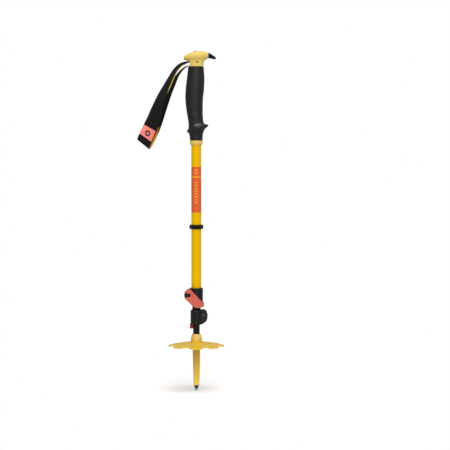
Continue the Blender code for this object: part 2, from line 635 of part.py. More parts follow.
def make_basket(body):
    steps = 9 * BASKET_LOBES
    rings = []
    for i in range(steps):
        angle = 2 * math.pi * i / steps
        rim = basket_reach(angle)
        section = [(HUB_BORE, HUB_TOP), (HUB_RADIUS, HUB_TOP), (HUB_RADIUS, 90.2)]
        for share in (0.1, 0.5, 0.97):
            radius = HUB_RADIUS + (rim - HUB_RADIUS) * share
            section.append((radius, basket_height(radius)))
        section.append((rim, basket_height(rim) - 0.8))
        for share in (0.97, 0.5, 0.06):
            radius = HUB_RADIUS + (rim - HUB_RADIUS) * share
            section.append((radius, basket_height(radius) - 2.0))
        section += [(HUB_RADIUS, HUB_BOTTOM), (HUB_BORE, HUB_BOTTOM)]
        rings.append([at(r * math.sin(angle), -r * math.cos(angle), h) for r, h in section])
    add_piece("powder_basket", lofted("powder_basket", rings, closed=True),
              MATERIALS["basket_plastic"], body)


# ---------------------------------------------------------------- assembly

def make_materials():
    return {
        "pale_yellow": new_material("pale_yellow", (0.85, 0.66, 0.16), 0.45),
        "yellow_paint": new_material("yellow_paint", (0.78, 0.46, 0.0), 0.35, 0.2),
        "black_paint": new_material("black_paint", (0.02, 0.02, 0.02), 0.4, 0.2),
        "black_rubber": new_material("black_rubber", (0.03, 0.03, 0.03), 0.75),
        "black_plastic": new_material("black_plastic", (0.03, 0.03, 0.03), 0.5),
        "coral": new_material("coral", (0.73, 0.16, 0.10), 0.45),
        "salmon": new_material("salmon", (1.0, 0.28, 0.22), 0.6),
        "webbing": new_material("webbing", (0.02, 0.02, 0.018), 0.9),
        "amber_plastic": new_material("amber_plastic", (0.70, 0.40, 0.04), 0.4),
        "basket_plastic": new_material("basket_plastic", (0.80, 0.50, 0.02), 0.4),
        "steel": new_material("steel", (0.55, 0.55, 0.56), 0.3, 1.0),
    }


def make_pole():
    bodies = {name: new_body(name, place) for name, place in PIVOTS.items()}
    make_head(bodies["upper_section"])
    make_grip(bodies["upper_section"])
    make_upper_section(bodies["upper_section"])
    make_lock("upper", bodies["upper_section"])
    make_strap(bodies["strap"])
    make_ring(bodies["ring"])
    make_guide("middle_guide", MIDDLE_ENDS[1], MIDDLE_BORE, UPPER_BORE,
               bodies["middle_guide"])
    make_middle_section(bodies["middle_section"])
    make_lock("lower", bodies["middle_section"])
    make_guide("lower_guide", LOWER_ENDS[1], LOWER_BORE, MIDDLE_BORE, bodies["lower_guide"])
    make_lower_section(bodies["lower_section"])
    make_basket(bodies["basket"])


clear_scene()
PARTS = new_collection("ski_touring_pole")
CUTTERS = new_collection("cutters")
MATERIALS = make_materials()
make_pole()
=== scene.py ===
"""Looks of the three-section ski-touring pole: fine meshes and materials round the CAD frame.

Sizes are in millimetres and heights are measured up from the steel point; at() turns them
into metres in the frame. The pole's axis is Z, the beak points along +X, the strap hangs
towards -X and the upper lever is on the -Y side.
"""

import math

import bmesh
import bpy
from mathutils import Matrix, Vector


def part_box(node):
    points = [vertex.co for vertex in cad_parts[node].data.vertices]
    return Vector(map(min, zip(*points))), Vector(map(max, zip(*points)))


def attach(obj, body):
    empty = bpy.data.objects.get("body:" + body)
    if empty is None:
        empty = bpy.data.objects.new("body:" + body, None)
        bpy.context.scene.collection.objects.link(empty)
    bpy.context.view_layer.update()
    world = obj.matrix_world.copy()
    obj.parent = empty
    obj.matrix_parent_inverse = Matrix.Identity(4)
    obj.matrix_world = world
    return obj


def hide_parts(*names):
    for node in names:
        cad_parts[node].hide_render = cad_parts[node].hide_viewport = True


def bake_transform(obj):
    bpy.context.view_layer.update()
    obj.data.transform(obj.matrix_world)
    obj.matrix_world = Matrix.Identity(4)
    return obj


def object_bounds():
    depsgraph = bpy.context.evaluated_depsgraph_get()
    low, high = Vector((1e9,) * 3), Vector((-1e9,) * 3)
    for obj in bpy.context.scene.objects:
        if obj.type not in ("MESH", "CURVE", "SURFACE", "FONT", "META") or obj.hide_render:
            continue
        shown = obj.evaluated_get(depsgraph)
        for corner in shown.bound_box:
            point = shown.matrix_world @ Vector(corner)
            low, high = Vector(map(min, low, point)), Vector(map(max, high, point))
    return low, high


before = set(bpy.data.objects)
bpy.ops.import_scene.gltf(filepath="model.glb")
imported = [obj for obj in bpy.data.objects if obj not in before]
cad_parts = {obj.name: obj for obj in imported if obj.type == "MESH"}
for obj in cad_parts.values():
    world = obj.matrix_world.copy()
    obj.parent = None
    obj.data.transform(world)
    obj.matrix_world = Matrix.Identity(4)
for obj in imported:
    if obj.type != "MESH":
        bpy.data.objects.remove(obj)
cad_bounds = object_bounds()

MM = 0.001
TIP_Z = cad_bounds[0].z                      # the steel point's height in the frame


def low_mm(node):
    """A node's lowest height above the steel point, in mm."""
    return (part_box(node)[0].z - TIP_Z) / MM


def high_mm(node):
    return (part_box(node)[1].z - TIP_Z) / MM


def at(x, y, height):
    return Vector((x * MM, y * MM, TIP_Z + height * MM))


def around(radius, angle, height):
    """A place given by its distance from the pole's axis and its angle round it."""
    return at(radius * math.cos(angle), radius * math.sin(angle), height)


# ---------------------------------------------------------------- mesh helpers

def full_turn(steps):
    """Angles once round a circle."""
    return [2 * math.pi * i / steps for i in range(steps)]


def new_piece(name, mesh):
    mesh.name = name
    piece = bpy.data.objects.new(name, mesh)
    bpy.context.scene.collection.objects.link(piece)
    return piece


def mesh_from(bm):
    bmesh.ops.recalc_face_normals(bm, faces=bm.faces)
    mesh = bpy.data.meshes.new("mesh")
    bm.to_mesh(mesh)
    bm.free()
    return mesh


def skin(bm, rows, closed, sides):
    """Faces between neighbouring rows of vertices; closed joins the last to the first."""
    following = rows[1:] + rows[:1] if closed else rows[1:]
    for first, second in zip(rows, following):
        for i in range(sides):
            j = (i + 1) % len(first)
            bm.faces.new((first[i], first[j], second[j], second[i]))


def lofted(rings, closed=False):
    """Skin over rings of matching points; the ends are capped unless the path closes."""
    bm = bmesh.new()
    rows = [[bm.verts.new(point) for point in ring] for ring in rings]
    skin(bm, rows, closed, len(rows[0]))
    if not closed:
        bm.faces.new(rows[0])
        bm.faces.new(rows[-1])
    return mesh_from(bm)


def turned(profile, steps=96):
    """A closed profile of (radius, height) turned round the pole's axis."""
    bm = bmesh.new()
    rows = [[bm.verts.new(around(radius, angle, height)) for radius, height in profile]
            for angle in full_turn(steps)]
    on_axis = profile[0][0] < 0.001          # a solid piece needs no wall along its axis
    skin(bm, rows, True, len(profile) - 1 if on_axis else len(profile))
    bmesh.ops.remove_doubles(bm, verts=bm.verts, dist=0.000002)
    bmesh.ops.dissolve_degenerate(bm, dist=0.000001, edges=bm.edges)
    return mesh_from(bm)


def prism(points, low, high, axis):
    """A flat outline made solid: (x, y) points along Z, or (x, height) points along Y."""
    def place(u, v, w):
        return at(u, v, w) if axis == "Z" else at(u, w, v)
    bm = bmesh.new()
    lower = [bm.verts.new(place(u, v, low)) for u, v in points]
    upper = [bm.verts.new(place(u, v, high)) for u, v in points]
    bm.faces.new(lower)
    bm.faces.new(list(reversed(upper)))
    for i in range(len(points)):
        j = (i + 1) % len(points)
        bm.faces.new((lower[i], upper[i], upper[j], lower[j]))
    bmesh.ops.triangulate(bm, faces=bm.faces)
    return mesh_from(bm)


def cylinder(radius, length, centre, axis="Z", steps=48):
    turn = {"Y": Matrix.Rotation(math.pi / 2, 4, "X"), "Z": Matrix.Identity(4)}[axis]
    bm = bmesh.new()
    bmesh.ops.create_cone(bm, cap_ends=True, segments=steps, radius1=radius * MM,
                          radius2=radius * MM, depth=length * MM,
                          matrix=Matrix.Translation(at(*centre)) @ turn)
    return mesh_from(bm)


def box_mesh(low, high):
    size = [(b - a) * MM for a, b in zip(low, high)]
    middle = at(*[(a + b) / 2 for a, b in zip(low, high)])
    bm = bmesh.new()
    bmesh.ops.create_cube(bm, size=1.0, matrix=Matrix.Translation(middle)
                          @ Matrix.Diagonal((*size, 1.0)))
    return mesh_from(bm)


def bake_modifiers(piece):
    bpy.context.view_layer.update()
    graph = bpy.context.evaluated_depsgraph_get()
    mesh = bpy.data.meshes.new_from_object(piece.evaluated_get(graph))
    piece.modifiers.clear()
    piece.data = mesh


def combine(piece, mesh, operation="DIFFERENCE"):
    """Cut, join or intersect a piece with another mesh, for good."""
    other = new_piece("operand", mesh)
    step = piece.modifiers.new("boolean", "BOOLEAN")
    step.operation = operation
    step.solver = "EXACT"
    step.object = other
    bake_modifiers(piece)
    bpy.data.objects.remove(other)


def moulded(piece, voxel, passes):
    """Fuse what overlaps and round every edge, as a moulded part has them."""
    remesh = piece.modifiers.new("fuse", "REMESH")
    remesh.mode = "VOXEL"
    remesh.voxel_size = voxel * MM
    smooth = piece.modifiers.new("round", "SMOOTH")
    smooth.factor = 0.5
    smooth.iterations = passes
    bake_modifiers(piece)


def bevelled(piece, width):
    """Bevel a piece's sharp edges."""
    bevel = piece.modifiers.new("bevel", "BEVEL")
    bevel.width = width * MM
    bevel.segments = 3
    bevel.limit_method = "ANGLE"
    bevel.angle_limit = math.radians(35)
    bake_modifiers(piece)


def bevelled_mesh(mesh, width):
    """A mesh with bevelled edges, to join to a piece or to cut from it."""
    piece = new_piece("tool", mesh)
    bevelled(piece, width)
    made = piece.data.copy()
    bpy.data.objects.remove(piece)
    return made


def arc(centre, radius, start, end, steps):
    """Points on an arc, with its angles in degrees."""
    angles = [math.radians(start + (end - start) * i / steps) for i in range(steps + 1)]
    return [(centre[0] + radius * math.cos(a), centre[1] + radius * math.sin(a))
            for a in angles]


def rounded_profile(points, radius, steps=4):
    """A closed profile with each corner rounded by up to the radius."""
    made = []
    count = len(points)
    for i, (x, y) in enumerate(points):
        before, after = points[i - 1], points[(i + 1) % count]
        if x < 0.001:
            made.append((x, y))
            continue
        corner = Vector((x, y))
        back, ahead = Vector(before) - corner, Vector(after) - corner
        reach = min(radius, back.length * 0.45, ahead.length * 0.45)
        start, end = corner + back.normalized() * reach, corner + ahead.normalized() * reach
        for k in range(steps + 1):
            t = k / steps
            spot = start * (1 - t) ** 2 + corner * 2 * t * (1 - t) + end * t * t
            made.append((max(spot.x, 0.0), spot.y))
    return made


def smooth_values(rows, count):
    """Rows of numbers, evenly resampled on a smooth curve through them."""
    padded = [[2 * a - b for a, b in zip(rows[0], rows[1])], *rows,
              [2 * a - b for a, b in zip(rows[-1], rows[-2])]]
    made = []
    for i in range(count + 1):
        place = i / count * (len(rows) - 1)
        k = min(int(place), len(rows) - 2)
        t = place - k
        made.append([0.5 * (2 * b + (c - a) * t + (2 * a - 5 * b + 4 * c - d) * t * t
                            + (3 * b - a - 3 * c + d) * t ** 3)
                     for a, b, c, d in zip(*padded[k:k + 4])])
    return made


def smoothstep(low, high, value):
    t = min(max((value - low) / (high - low), 0.0), 1.0)
    return t * t * (3 - 2 * t)


def finish_piece(piece, material, body, slot, *nodes, sharp=38):
    """Shade a piece, give it its material and let it ride on its body."""
    piece.data.shade_smooth()
    piece.data.set_sharp_from_angle(angle=math.radians(sharp))
    piece.data.materials.clear()
    piece.data.materials.append(material)
    if body:
        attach(piece, body)
    if nodes:
        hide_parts(*nodes)
    return piece


def add_piece(name, mesh, *facts, sharp=38):
    return finish_piece(new_piece(name, mesh), *facts, sharp=sharp)


# ---------------------------------------------------------------- materials

def linear(red, green, blue):
    """A display colour of 0 to 255 as linear light."""
    def channel(value):
        value /= 255
        return value / 12.92 if value <= 0.04045 else ((value + 0.055) / 1.055) ** 2.4
    return tuple(channel(value) for value in (red, green, blue))


def shade(colour, factor):
    return (*[min(value * factor, 1.0) for value in colour], 1.0)


class Nodes:
    """A small wrapper that adds nodes to a material and links them."""

    def __init__(self, name):
        self.material = bpy.data.materials.new(name)
        self.material.use_nodes = True
        self.tree = self.material.node_tree
        self.shader = self.tree.nodes["Principled BSDF"]
        self.place = self.add("ShaderNodeTexCoord").outputs["Object"]

    def add(self, kind, **values):
        node = self.tree.nodes.new(kind)
        for key, value in values.items():
            setattr(node, key, value)
        return node

    def link(self, source, target):
        self.tree.links.new(source, target)

    def stretched(self, scale):
        """Object coordinates with their own scale on each axis."""
        mapping = self.add("ShaderNodeMapping")
        mapping.inputs["Scale"].default_value = scale
        self.link(self.place, mapping.inputs["Vector"])
        return mapping.outputs["Vector"]

    def noise(self, scale, detail=3.0, vector=None):
        node = self.add("ShaderNodeTexNoise")
        node.inputs["Scale"].default_value = scale
        node.inputs["Detail"].default_value = detail
        node.inputs["Roughness"].default_value = 0.55
        self.link(vector or self.place, node.inputs["Vector"])
        return node.outputs["Fac"]

    def ranged(self, source, low, high, from_low=0.3, from_high=0.7):
        node = self.add("ShaderNodeMapRange")
        for key, value in (("From Min", from_low), ("From Max", from_high),
                           ("To Min", low), ("To Max", high)):
            node.inputs[key].default_value = value
        self.link(source, node.inputs["Value"])
        return node.outputs["Result"]

    def mixed(self, factor, first, second):
        node = self.add("ShaderNodeMix", data_type="RGBA")
        self.link(factor, node.inputs["Factor"])
        for key, value in (("A", first), ("B", second)):
            socket = [s for s in node.inputs if s.name == key and s.type == "RGBA"][0]
            if isinstance(value, tuple):
                socket.default_value = value
            else:
                self.link(value, socket)
        return [s for s in node.outputs if s.type == "RGBA"][0]

    def math(self, operation, first, second=0.0):
        node = self.add("ShaderNodeMath", operation=operation)
        for i, value in enumerate((first, second)):
            if isinstance(value, (int, float)):
                node.inputs[i].default_value = value
            else:
                self.link(value, node.inputs[i])
        return node.outputs[0]

    def bump(self, height, strength, distance, below=None):
        node = self.add("ShaderNodeBump")
        node.inputs["Strength"].default_value = strength
        node.inputs["Distance"].default_value = distance * MM
        self.link(height, node.inputs["Height"])
        if below:
            self.link(below, node.inputs["Normal"])
        return node.outputs["Normal"]

    def split(self, vector):
        """A vector's X, Y and Z, as sockets by name."""
        node = self.add("ShaderNodeSeparateXYZ")
        self.link(vector, node.inputs["Vector"])
        return node.outputs

    def height_mm(self):
        """Height above the steel point in mm, as a socket."""
        height = self.split(self.place)["Z"]
        return self.math("DIVIDE", self.math("SUBTRACT", height, TIP_Z), MM)

    def toned(self, factor, colour, dark, pale):
        """A colour that the factor takes from a dark to a pale shade of itself."""
        return self.mixed(self.ranged(factor, 0.0, 1.0), shade(colour, dark),
                          shade(colour, pale))

    def set(self, **values):
        for key, value in values.items():
            self.shader.inputs[key.replace("_", " ")].default_value = value

    def wire(self, colour, roughness=None, normal=None):
        for socket, name in ((colour, "Base Color"), (roughness, "Roughness"),
                             (normal, "Normal")):
            if socket:
                self.link(socket, self.shader.inputs[name])
        return self.material


def moulded_plastic(name, colour, roughness, spread, grain, worn):
    """Moulded plastic: faint flow marks, a fine spark-eroded grain and rubbed edges."""
    n = Nodes(name)
    body = n.toned(n.noise(70.0), colour, 1 - spread, 1 + spread)
    edges = n.add("ShaderNodeNewGeometry").outputs["Pointiness"]
    lightened = n.math("MULTIPLY", n.ranged(edges, 0.0, 1.0, 0.53, 0.62),
                    n.ranged(n.noise(400.0), 0.2, 1.0))
    n.set(IOR=1.48, Specular_IOR_Level=0.32)
    return n.wire(n.mixed(lightened, body, shade(colour, worn)),
                  n.ranged(n.noise(300.0), roughness - 0.06, roughness + 0.08),
                  n.bump(n.noise(2600.0, 2.0), grain, 0.05))


def painted_tube(name, colour, roughness, metal):
    """An anodised or painted tube: drawn lines along it and a fine flake."""
    n = Nodes(name)
    drawn = n.noise(1.0, 2.0, vector=n.stretched((900.0, 900.0, 14.0)))
    body = n.toned(drawn, colour, 0.95, 1.05)
    n.set(Metallic=metal, Specular_IOR_Level=0.1)
    return n.wire(body, n.ranged(n.noise(160.0), roughness - 0.05, roughness + 0.07),
                  n.bump(n.noise(1400.0, 2.0), 0.12, 0.04))


def translucent_plastic(name, stops, depth):
    """Clear-tinted plastic, cloudy inside; stops are (height above the point, colour)."""
    n = Nodes(name)
    height = n.height_mm()
    body = (*stops[0][1], 1.0)
    for (low, _), (high, colour) in zip(stops, stops[1:]):
        body = n.mixed(n.ranged(height, 0.0, 1.0, low, high), body, (*colour, 1.0))
    clouds = n.mixed(n.ranged(n.noise(120.0), 0.0, 0.1), body, shade(stops[-1][1], 1.25))
    n.set(Subsurface_Weight=depth, Subsurface_Scale=0.003, IOR=1.46)
    n.shader.inputs["Subsurface Radius"].default_value = (1.0, 0.7, 0.2)
    return n.wire(clouds, n.ranged(n.noise(260.0), 0.26, 0.38),
                  n.bump(n.noise(500.0, 2.0), 0.1, 0.1))


def soft_rubber(name, colour, roughness, gloss, lightened=None):
    """Foamed grip rubber: a closed-cell pebble with paler, dusty high spots.

    lightened places a painted glint: a patch painted paler and made less rough, as (x, height,
    half length, half height).
    """
    n = Nodes(name)
    cells = n.add("ShaderNodeTexVoronoi", feature="SMOOTH_F1")
    cells.inputs["Scale"].default_value = 1500.0
    n.link(n.place, cells.inputs["Vector"])
    dust_and_glint = n.toned(n.noise(90.0), colour, 0.85, 1.2)
    n.set(Sheen_Weight=0.04, Sheen_Roughness=0.5, Specular_IOR_Level=gloss)
    fine = n.bump(cells.outputs["Distance"], 0.35, 0.12)
    rough = n.ranged(n.noise(500.0), roughness - 0.07, roughness + 0.08)
    if lightened:
        x, height, half_long, half_tall = lightened
        along = n.math("DIVIDE", n.math("SUBTRACT", n.split(n.place)["X"], x * MM),
                       half_long * MM)
        rise = n.math("DIVIDE", n.math("SUBTRACT", n.height_mm(), height), half_tall)
        slanted = n.math("SUBTRACT", rise, n.math("MULTIPLY", along, 0.65))
        away = n.math("ADD", n.math("MULTIPLY", along, along),
                      n.math("MULTIPLY", slanted, slanted))
        painted_glint = n.ranged(away, 1.0, 0.0, 0.0, 1.0)
        # painted glint: inside the patch the rubber's colour goes to a pale grey
        dust_and_glint = n.mixed(painted_glint, dust_and_glint, shade(linear(34, 33, 31), 8.0))
        rough = n.math("SUBTRACT", rough, n.math("MULTIPLY", painted_glint, 0.15))
    return n.wire(dust_and_glint, rough, n.bump(n.noise(180.0, 2.0), 0.1, 0.2, fine))


def bare_metal(name, colour, roughness):
    """Machined steel with turning marks."""
    n = Nodes(name)
    marks = n.noise(1.0, 2.0, vector=n.stretched((300.0, 300.0, 5000.0)))
    body = n.toned(marks, colour, 0.8, 1.15)
    n.set(Metallic=1.0, Anisotropic=0.4)
    return n.wire(body, n.ranged(marks, roughness - 0.06, roughness + 0.12),
                  n.bump(marks, 0.15, 0.03))


LINING_MIDDLE = 167.0                        # mm along the lining to the strap's fold


def woven(name, colour, second, pitch, rib, gap, relief, near_fold=None):
    """Webbing: yarns along and across the band, from the mesh's own weave coordinates.

    near_fold is a second colour that takes over within a hand's width of the strap's fold.
    """
    n = Nodes(name)
    weave = n.split(n.add("ShaderNodeAttribute", attribute_name="weave").outputs["Vector"])
    across, along = weave["X"], weave["Y"]
    turn = 2 * math.pi / pitch
    warp = n.math("SINE", n.math("MULTIPLY", across, turn))
    shifted = n.math("ADD", n.math("MULTIPLY", along, turn * rib),
                     n.math("MULTIPLY", n.math("SIGN", warp), math.pi / 2))
    yarns = n.math("MULTIPLY", n.math("ABSOLUTE", warp),
                   n.math("ADD", n.math("MULTIPLY", n.math("SINE", shifted), 0.4), 0.6))
    fuzz = n.noise(2500.0, 2.0)
    weft = n.ranged(yarns, 0.0, 1.0, 0.0, 0.9)
    body = n.mixed(weft, shade(colour, gap), shade(colour, 1.25))
    tinted = n.mixed(n.ranged(fuzz, 0.0, 0.35), body, (*second, 1.0))
    if near_fold:
        from_fold = n.math("ABSOLUTE", n.math("SUBTRACT", along, LINING_MIDDLE))
        fold_toned = n.mixed(weft, shade(near_fold, gap), shade(near_fold, 1.1))
        tinted = n.mixed(n.ranged(from_fold, 0.0, 1.0, 55.0, 95.0), fold_toned, tinted)
    n.set(Sheen_Weight=0.02, Sheen_Roughness=0.4, Specular_IOR_Level=0.1)
    return n.wire(tinted, n.ranged(fuzz, 0.75, 0.95), n.bump(yarns, relief, 0.25))


def printed_film(name, colour, roughness):
    """Printed film or rubber print: flat ink with faint screen texture."""
    n = Nodes(name)
    body = n.toned(n.noise(500.0), colour, 0.95, 1.05)
    n.set(Specular_IOR_Level=0.3)
    return n.wire(body, n.ranged(n.noise(900.0), roughness - 0.05, roughness + 0.05),
                  n.bump(n.noise(2200.0, 2.0), 0.12, 0.04))


PALE_YELLOW = moulded_plastic("pale_yellow", linear(236, 205, 105), 0.38, 0.02, 0.06, 1.05)
YELLOW_PAINT = painted_tube("yellow_paint", linear(242, 192, 0), 0.6, 0.12)
BLACK_TUBE = painted_tube("black_tube", linear(30, 30, 31), 0.4, 0.2)
# the last values place a painted glint on the upper face of the grip's flare
RUBBER = soft_rubber("grip_rubber", linear(27, 27, 28), 0.42, 0.27, (2.7, 484.9, 8.5, 2.7))
SMOOTH_RUBBER = soft_rubber("smooth_rubber", linear(9, 8, 7), 0.4, 0.15)
BLACK_PLASTIC = moulded_plastic("black_plastic", linear(18, 18, 17), 0.3, 0.08, 0.12, 1.8)
CORAL = moulded_plastic("coral", linear(208, 100, 78), 0.4, 0.04, 0.12, 1.15)
DARK_METAL = bare_metal("dark_metal", linear(44, 44, 46), 0.35)
NUT_METAL = bare_metal("nut_metal", linear(92, 92, 95), 0.25)
PIN_METAL = bare_metal("pin_metal", linear(24, 20, 17), 0.5)
STEEL = bare_metal("steel", linear(158, 148, 130), 0.35)
WEBBING = woven("webbing", linear(25, 25, 24), linear(44, 44, 41), 1.1, 0.5, 0.55, 0.6)
LINING = woven("lining", linear(246, 218, 104), linear(252, 230, 140), 1.0, 1.0, 0.85, 0.15,
               linear(226, 172, 46))
SALMON = printed_film("salmon_print", linear(250, 138, 128), 0.55)
LABEL = printed_film("label_coral", linear(227, 97, 46), 0.45)
LABEL_MARK = printed_film("label_orange", linear(246, 158, 22), 0.45)
DARK_MARK = printed_film("dark_print", linear(26, 25, 25), 0.6)
SCALE_MARK = printed_film("scale_print", linear(205, 205, 205), 0.45)
# The stops darken the shroud from its foot up to the basket's underside, painted shade under the
# basket, and turn pale again on the collar above it.
AMBER = translucent_plastic("amber_shroud", [(12, linear(230, 190, 86)),
                                             (32, linear(214, 172, 58)),
                                             (56, linear(196, 152, 34)),
                                             (76, linear(192, 148, 24)),
                                             (92, linear(226, 190, 98))], 0.1)
BASKET = translucent_plastic("basket_yellow", [(80, linear(222, 182, 40)),
                                               (92, linear(218, 176, 34))], 0.05)


# ---------------------------------------------------------------- head of the grip

NECK_BOTTOM = low_mm("grip_head")


def superellipse(angle, power):
    c, s = math.cos(angle), math.sin(angle)
    return (math.copysign(abs(c) ** (2 / power), c), math.copysign(abs(s) ** (2 / power), s))


def crown_ring(x, top, bottom, half_width, steps=64):
    """A ring across the head in the plane of constant x."""
    middle, reach = (top + bottom) / 2, (top - bottom) / 2
    shape = [superellipse(angle, 2.25) for angle in full_turn(steps)]
    return [at(x, half_width * u, middle + reach * v) for u, v in shape]


def neck_ring(rear, front, half_width, height):
    """A level ring round the pole: rear and front are its x limits."""
    middle, reach = (rear + front) / 2, (front - rear) / 2
    shape = [superellipse(angle, 3.2) for angle in full_turn(96)]
    return [at(middle + reach * u, half_width * v, height) for u, v in shape]


# x, top, bottom, half width
CROWN = [(-22.5, 609.6, 604.6, 4.2), (-21.6, 610.6, 603.6, 6.8), (-19.2, 612.0, 602.6, 9.6),
         (-14.0, 614.8, 600.9, 12.8), (-7.0, 617.7, 599.6, 15.2), (0.0, 619.3, 598.9, 16.0),
         (7.0, 619.5, 599.2, 15.2), (13.0, 618.6, 601.0, 12.9), (17.0, 617.8, 603.6, 10.2),
         (22.0, 616.5, 606.0, 7.2)]
BEAK = [(22.3, 616.3, 606.1, 6.9), (25.0, 615.3, 605.9, 6.4), (28.0, 613.5, 605.4, 5.7),
        (31.0, 611.5, 604.8, 5.0), (33.4, 610.0, 604.3, 4.3), (34.9, 609.0, 604.4, 3.4),
        (35.7, 608.0, 605.2, 1.9)]
# rear, front, half width, height
NECK = [(-12.9, 13.0, 12.6, NECK_BOTTOM), (-12.9, 13.2, 12.6, 595.0),
        (-13.4, 13.9, 12.8, 599.5), (-15.2, 16.0, 13.2, 603.5), (-15.4, 16.4, 13.2, 607.0)]
CAP_X, CAP_REACH, CAP_HALF, CAP_FIT = -0.8, 3.3, 2.6, 0.25
SLOT_HALF, SLOT_BOTTOM, SLOT_TOP = 8.9, 591.9, 602.6
PIN_X, PIN_HEIGHT, PIN_HOLE = 2.3, 598.8, 1.55


def ellipse(x, reach_x, reach_y):
    return [(x + reach_x * math.cos(angle), reach_y * math.sin(angle))
            for angle in full_turn(40)]


def make_head():
    """The head's shell with its slot, pin hole and cap socket, then the beak and the cap."""
    rings = [crown_ring(*row) for row in smooth_values(CROWN, 60)]
    head = new_piece("head_shell", lofted(rings))
    neck = lofted([neck_ring(*row) for row in smooth_values(NECK, 20)])
    combine(head, neck, "UNION")
    moulded(head, 0.5, 12)
    slot = box_mesh((-40.0, -SLOT_HALF, SLOT_BOTTOM), (-1.5, SLOT_HALF, SLOT_TOP))
    combine(head, bevelled_mesh(slot, 0.8))
    combine(head, box_mesh((-30, -30, NECK_BOTTOM - 10), (30, 30, NECK_BOTTOM + 0.05)))
    combine(head, cylinder(PIN_HOLE, 60, (PIN_X, 0, PIN_HEIGHT), "Y", 32))
    socket = ellipse(CAP_X, CAP_REACH + CAP_FIT, CAP_HALF + CAP_FIT)
    combine(head, prism(socket, 617.4, 625, "Z"))
    finish_piece(head, PALE_YELLOW, "upper_section", "pale_yellow", "grip_head")

    beak = lofted([crown_ring(*row, steps=48) for row in smooth_values(BEAK, 36)])
    add_piece("beak_insert", beak, SMOOTH_RUBBER, "upper_section", "black_rubber", "beak_tip")

    cap_rings = [[at(x, y, height) for x, y in
                  ellipse(CAP_X, CAP_REACH * grow, CAP_HALF * grow)]
                 for grow, height in ((1, 617.6), (1, 619.5), (0.95, 619.75), (0.8, 619.8))]
    add_piece("head_plug", lofted(cap_rings), SMOOTH_RUBBER, "upper_section",
              "black_rubber", "head_cap")


# ---------------------------------------------------------------- grip

FOAM_TOP, FOAM_BOTTOM = high_mm("grip_foam"), 457.2
# rear x, front x, half width, height on the axis, tilt
FOAM = [(-14.3, 13.8, 13.2, FOAM_TOP, 0.0), (-15.2, 14.3, 13.8, 583.0, 0.0),
        (-17.0, 15.1, 14.4, 570.0, 0.0), (-18.6, 14.7, 14.8, 557.0, 0.0),
        (-19.3, 14.1, 14.8, 546.5, 0.0), (-20.0, 12.9, 14.4, 537.0, 0.0),
        (-19.5, 12.4, 14.0, 529.0, 0.0), (-18.8, 12.2, 13.6, 519.0, 0.0),
        (-17.2, 12.1, 13.2, 508.0, 0.0), (-15.3, 12.5, 12.9, 497.0, 0.03),
        (-14.0, 13.4, 12.9, 489.0, 0.12), (-14.3, 16.2, 14.2, 483.2, 0.24),
        (-15.9, 20.9, 16.0, 480.6, 0.273), (-16.9, 22.0, 16.6, 478.6, 0.273),
        (-16.5, 21.0, 16.0, 476.7, 0.273), (-14.4, 15.8, 14.0, 474.0, 0.22),
        (-12.8, 12.6, 12.4, 469.0, 0.08), (-12.0, 11.9, 11.9, 463.0, 0.0),
        (-11.5, 11.6, 11.6, FOAM_BOTTOM, 0.0)]
RIB_TOP, RIB_PITCH, RIBS = 543.5, 3.9, 11
RIB_DEPTH = 0.5
FOAM_STEPS, FOAM_POWER, FOAM_BORE = 128, 2.2, 10.9
SPINE_TOP, SPINE_BOTTOM = 589.6, 545.0


def rib_depth(height, front_share):
    """How deep the finger ribs cut at a height; front_share is 1 at the front, -1 behind."""
    place = (RIB_TOP - height) / RIB_PITCH
    if not 0.0 <= place <= RIBS:
        return 0.0
    groove = (0.5 + 0.5 * math.cos(2 * math.pi * place)) ** 2.5
    return RIB_DEPTH * groove * smoothstep(-0.7, -0.2, front_share)


def foam_ring(rear, front, half_width, height, tilt):
    middle, reach = (rear + front) / 2, (front - rear) / 2
    ring = []
    for angle in full_turn(FOAM_STEPS):
        u, v = superellipse(angle, FOAM_POWER)
        cut = rib_depth(height, math.cos(angle))
        x, y = middle + (reach - cut) * u, (half_width - cut) * v
        ring.append(at(x, y, height + tilt * x))
    return ring


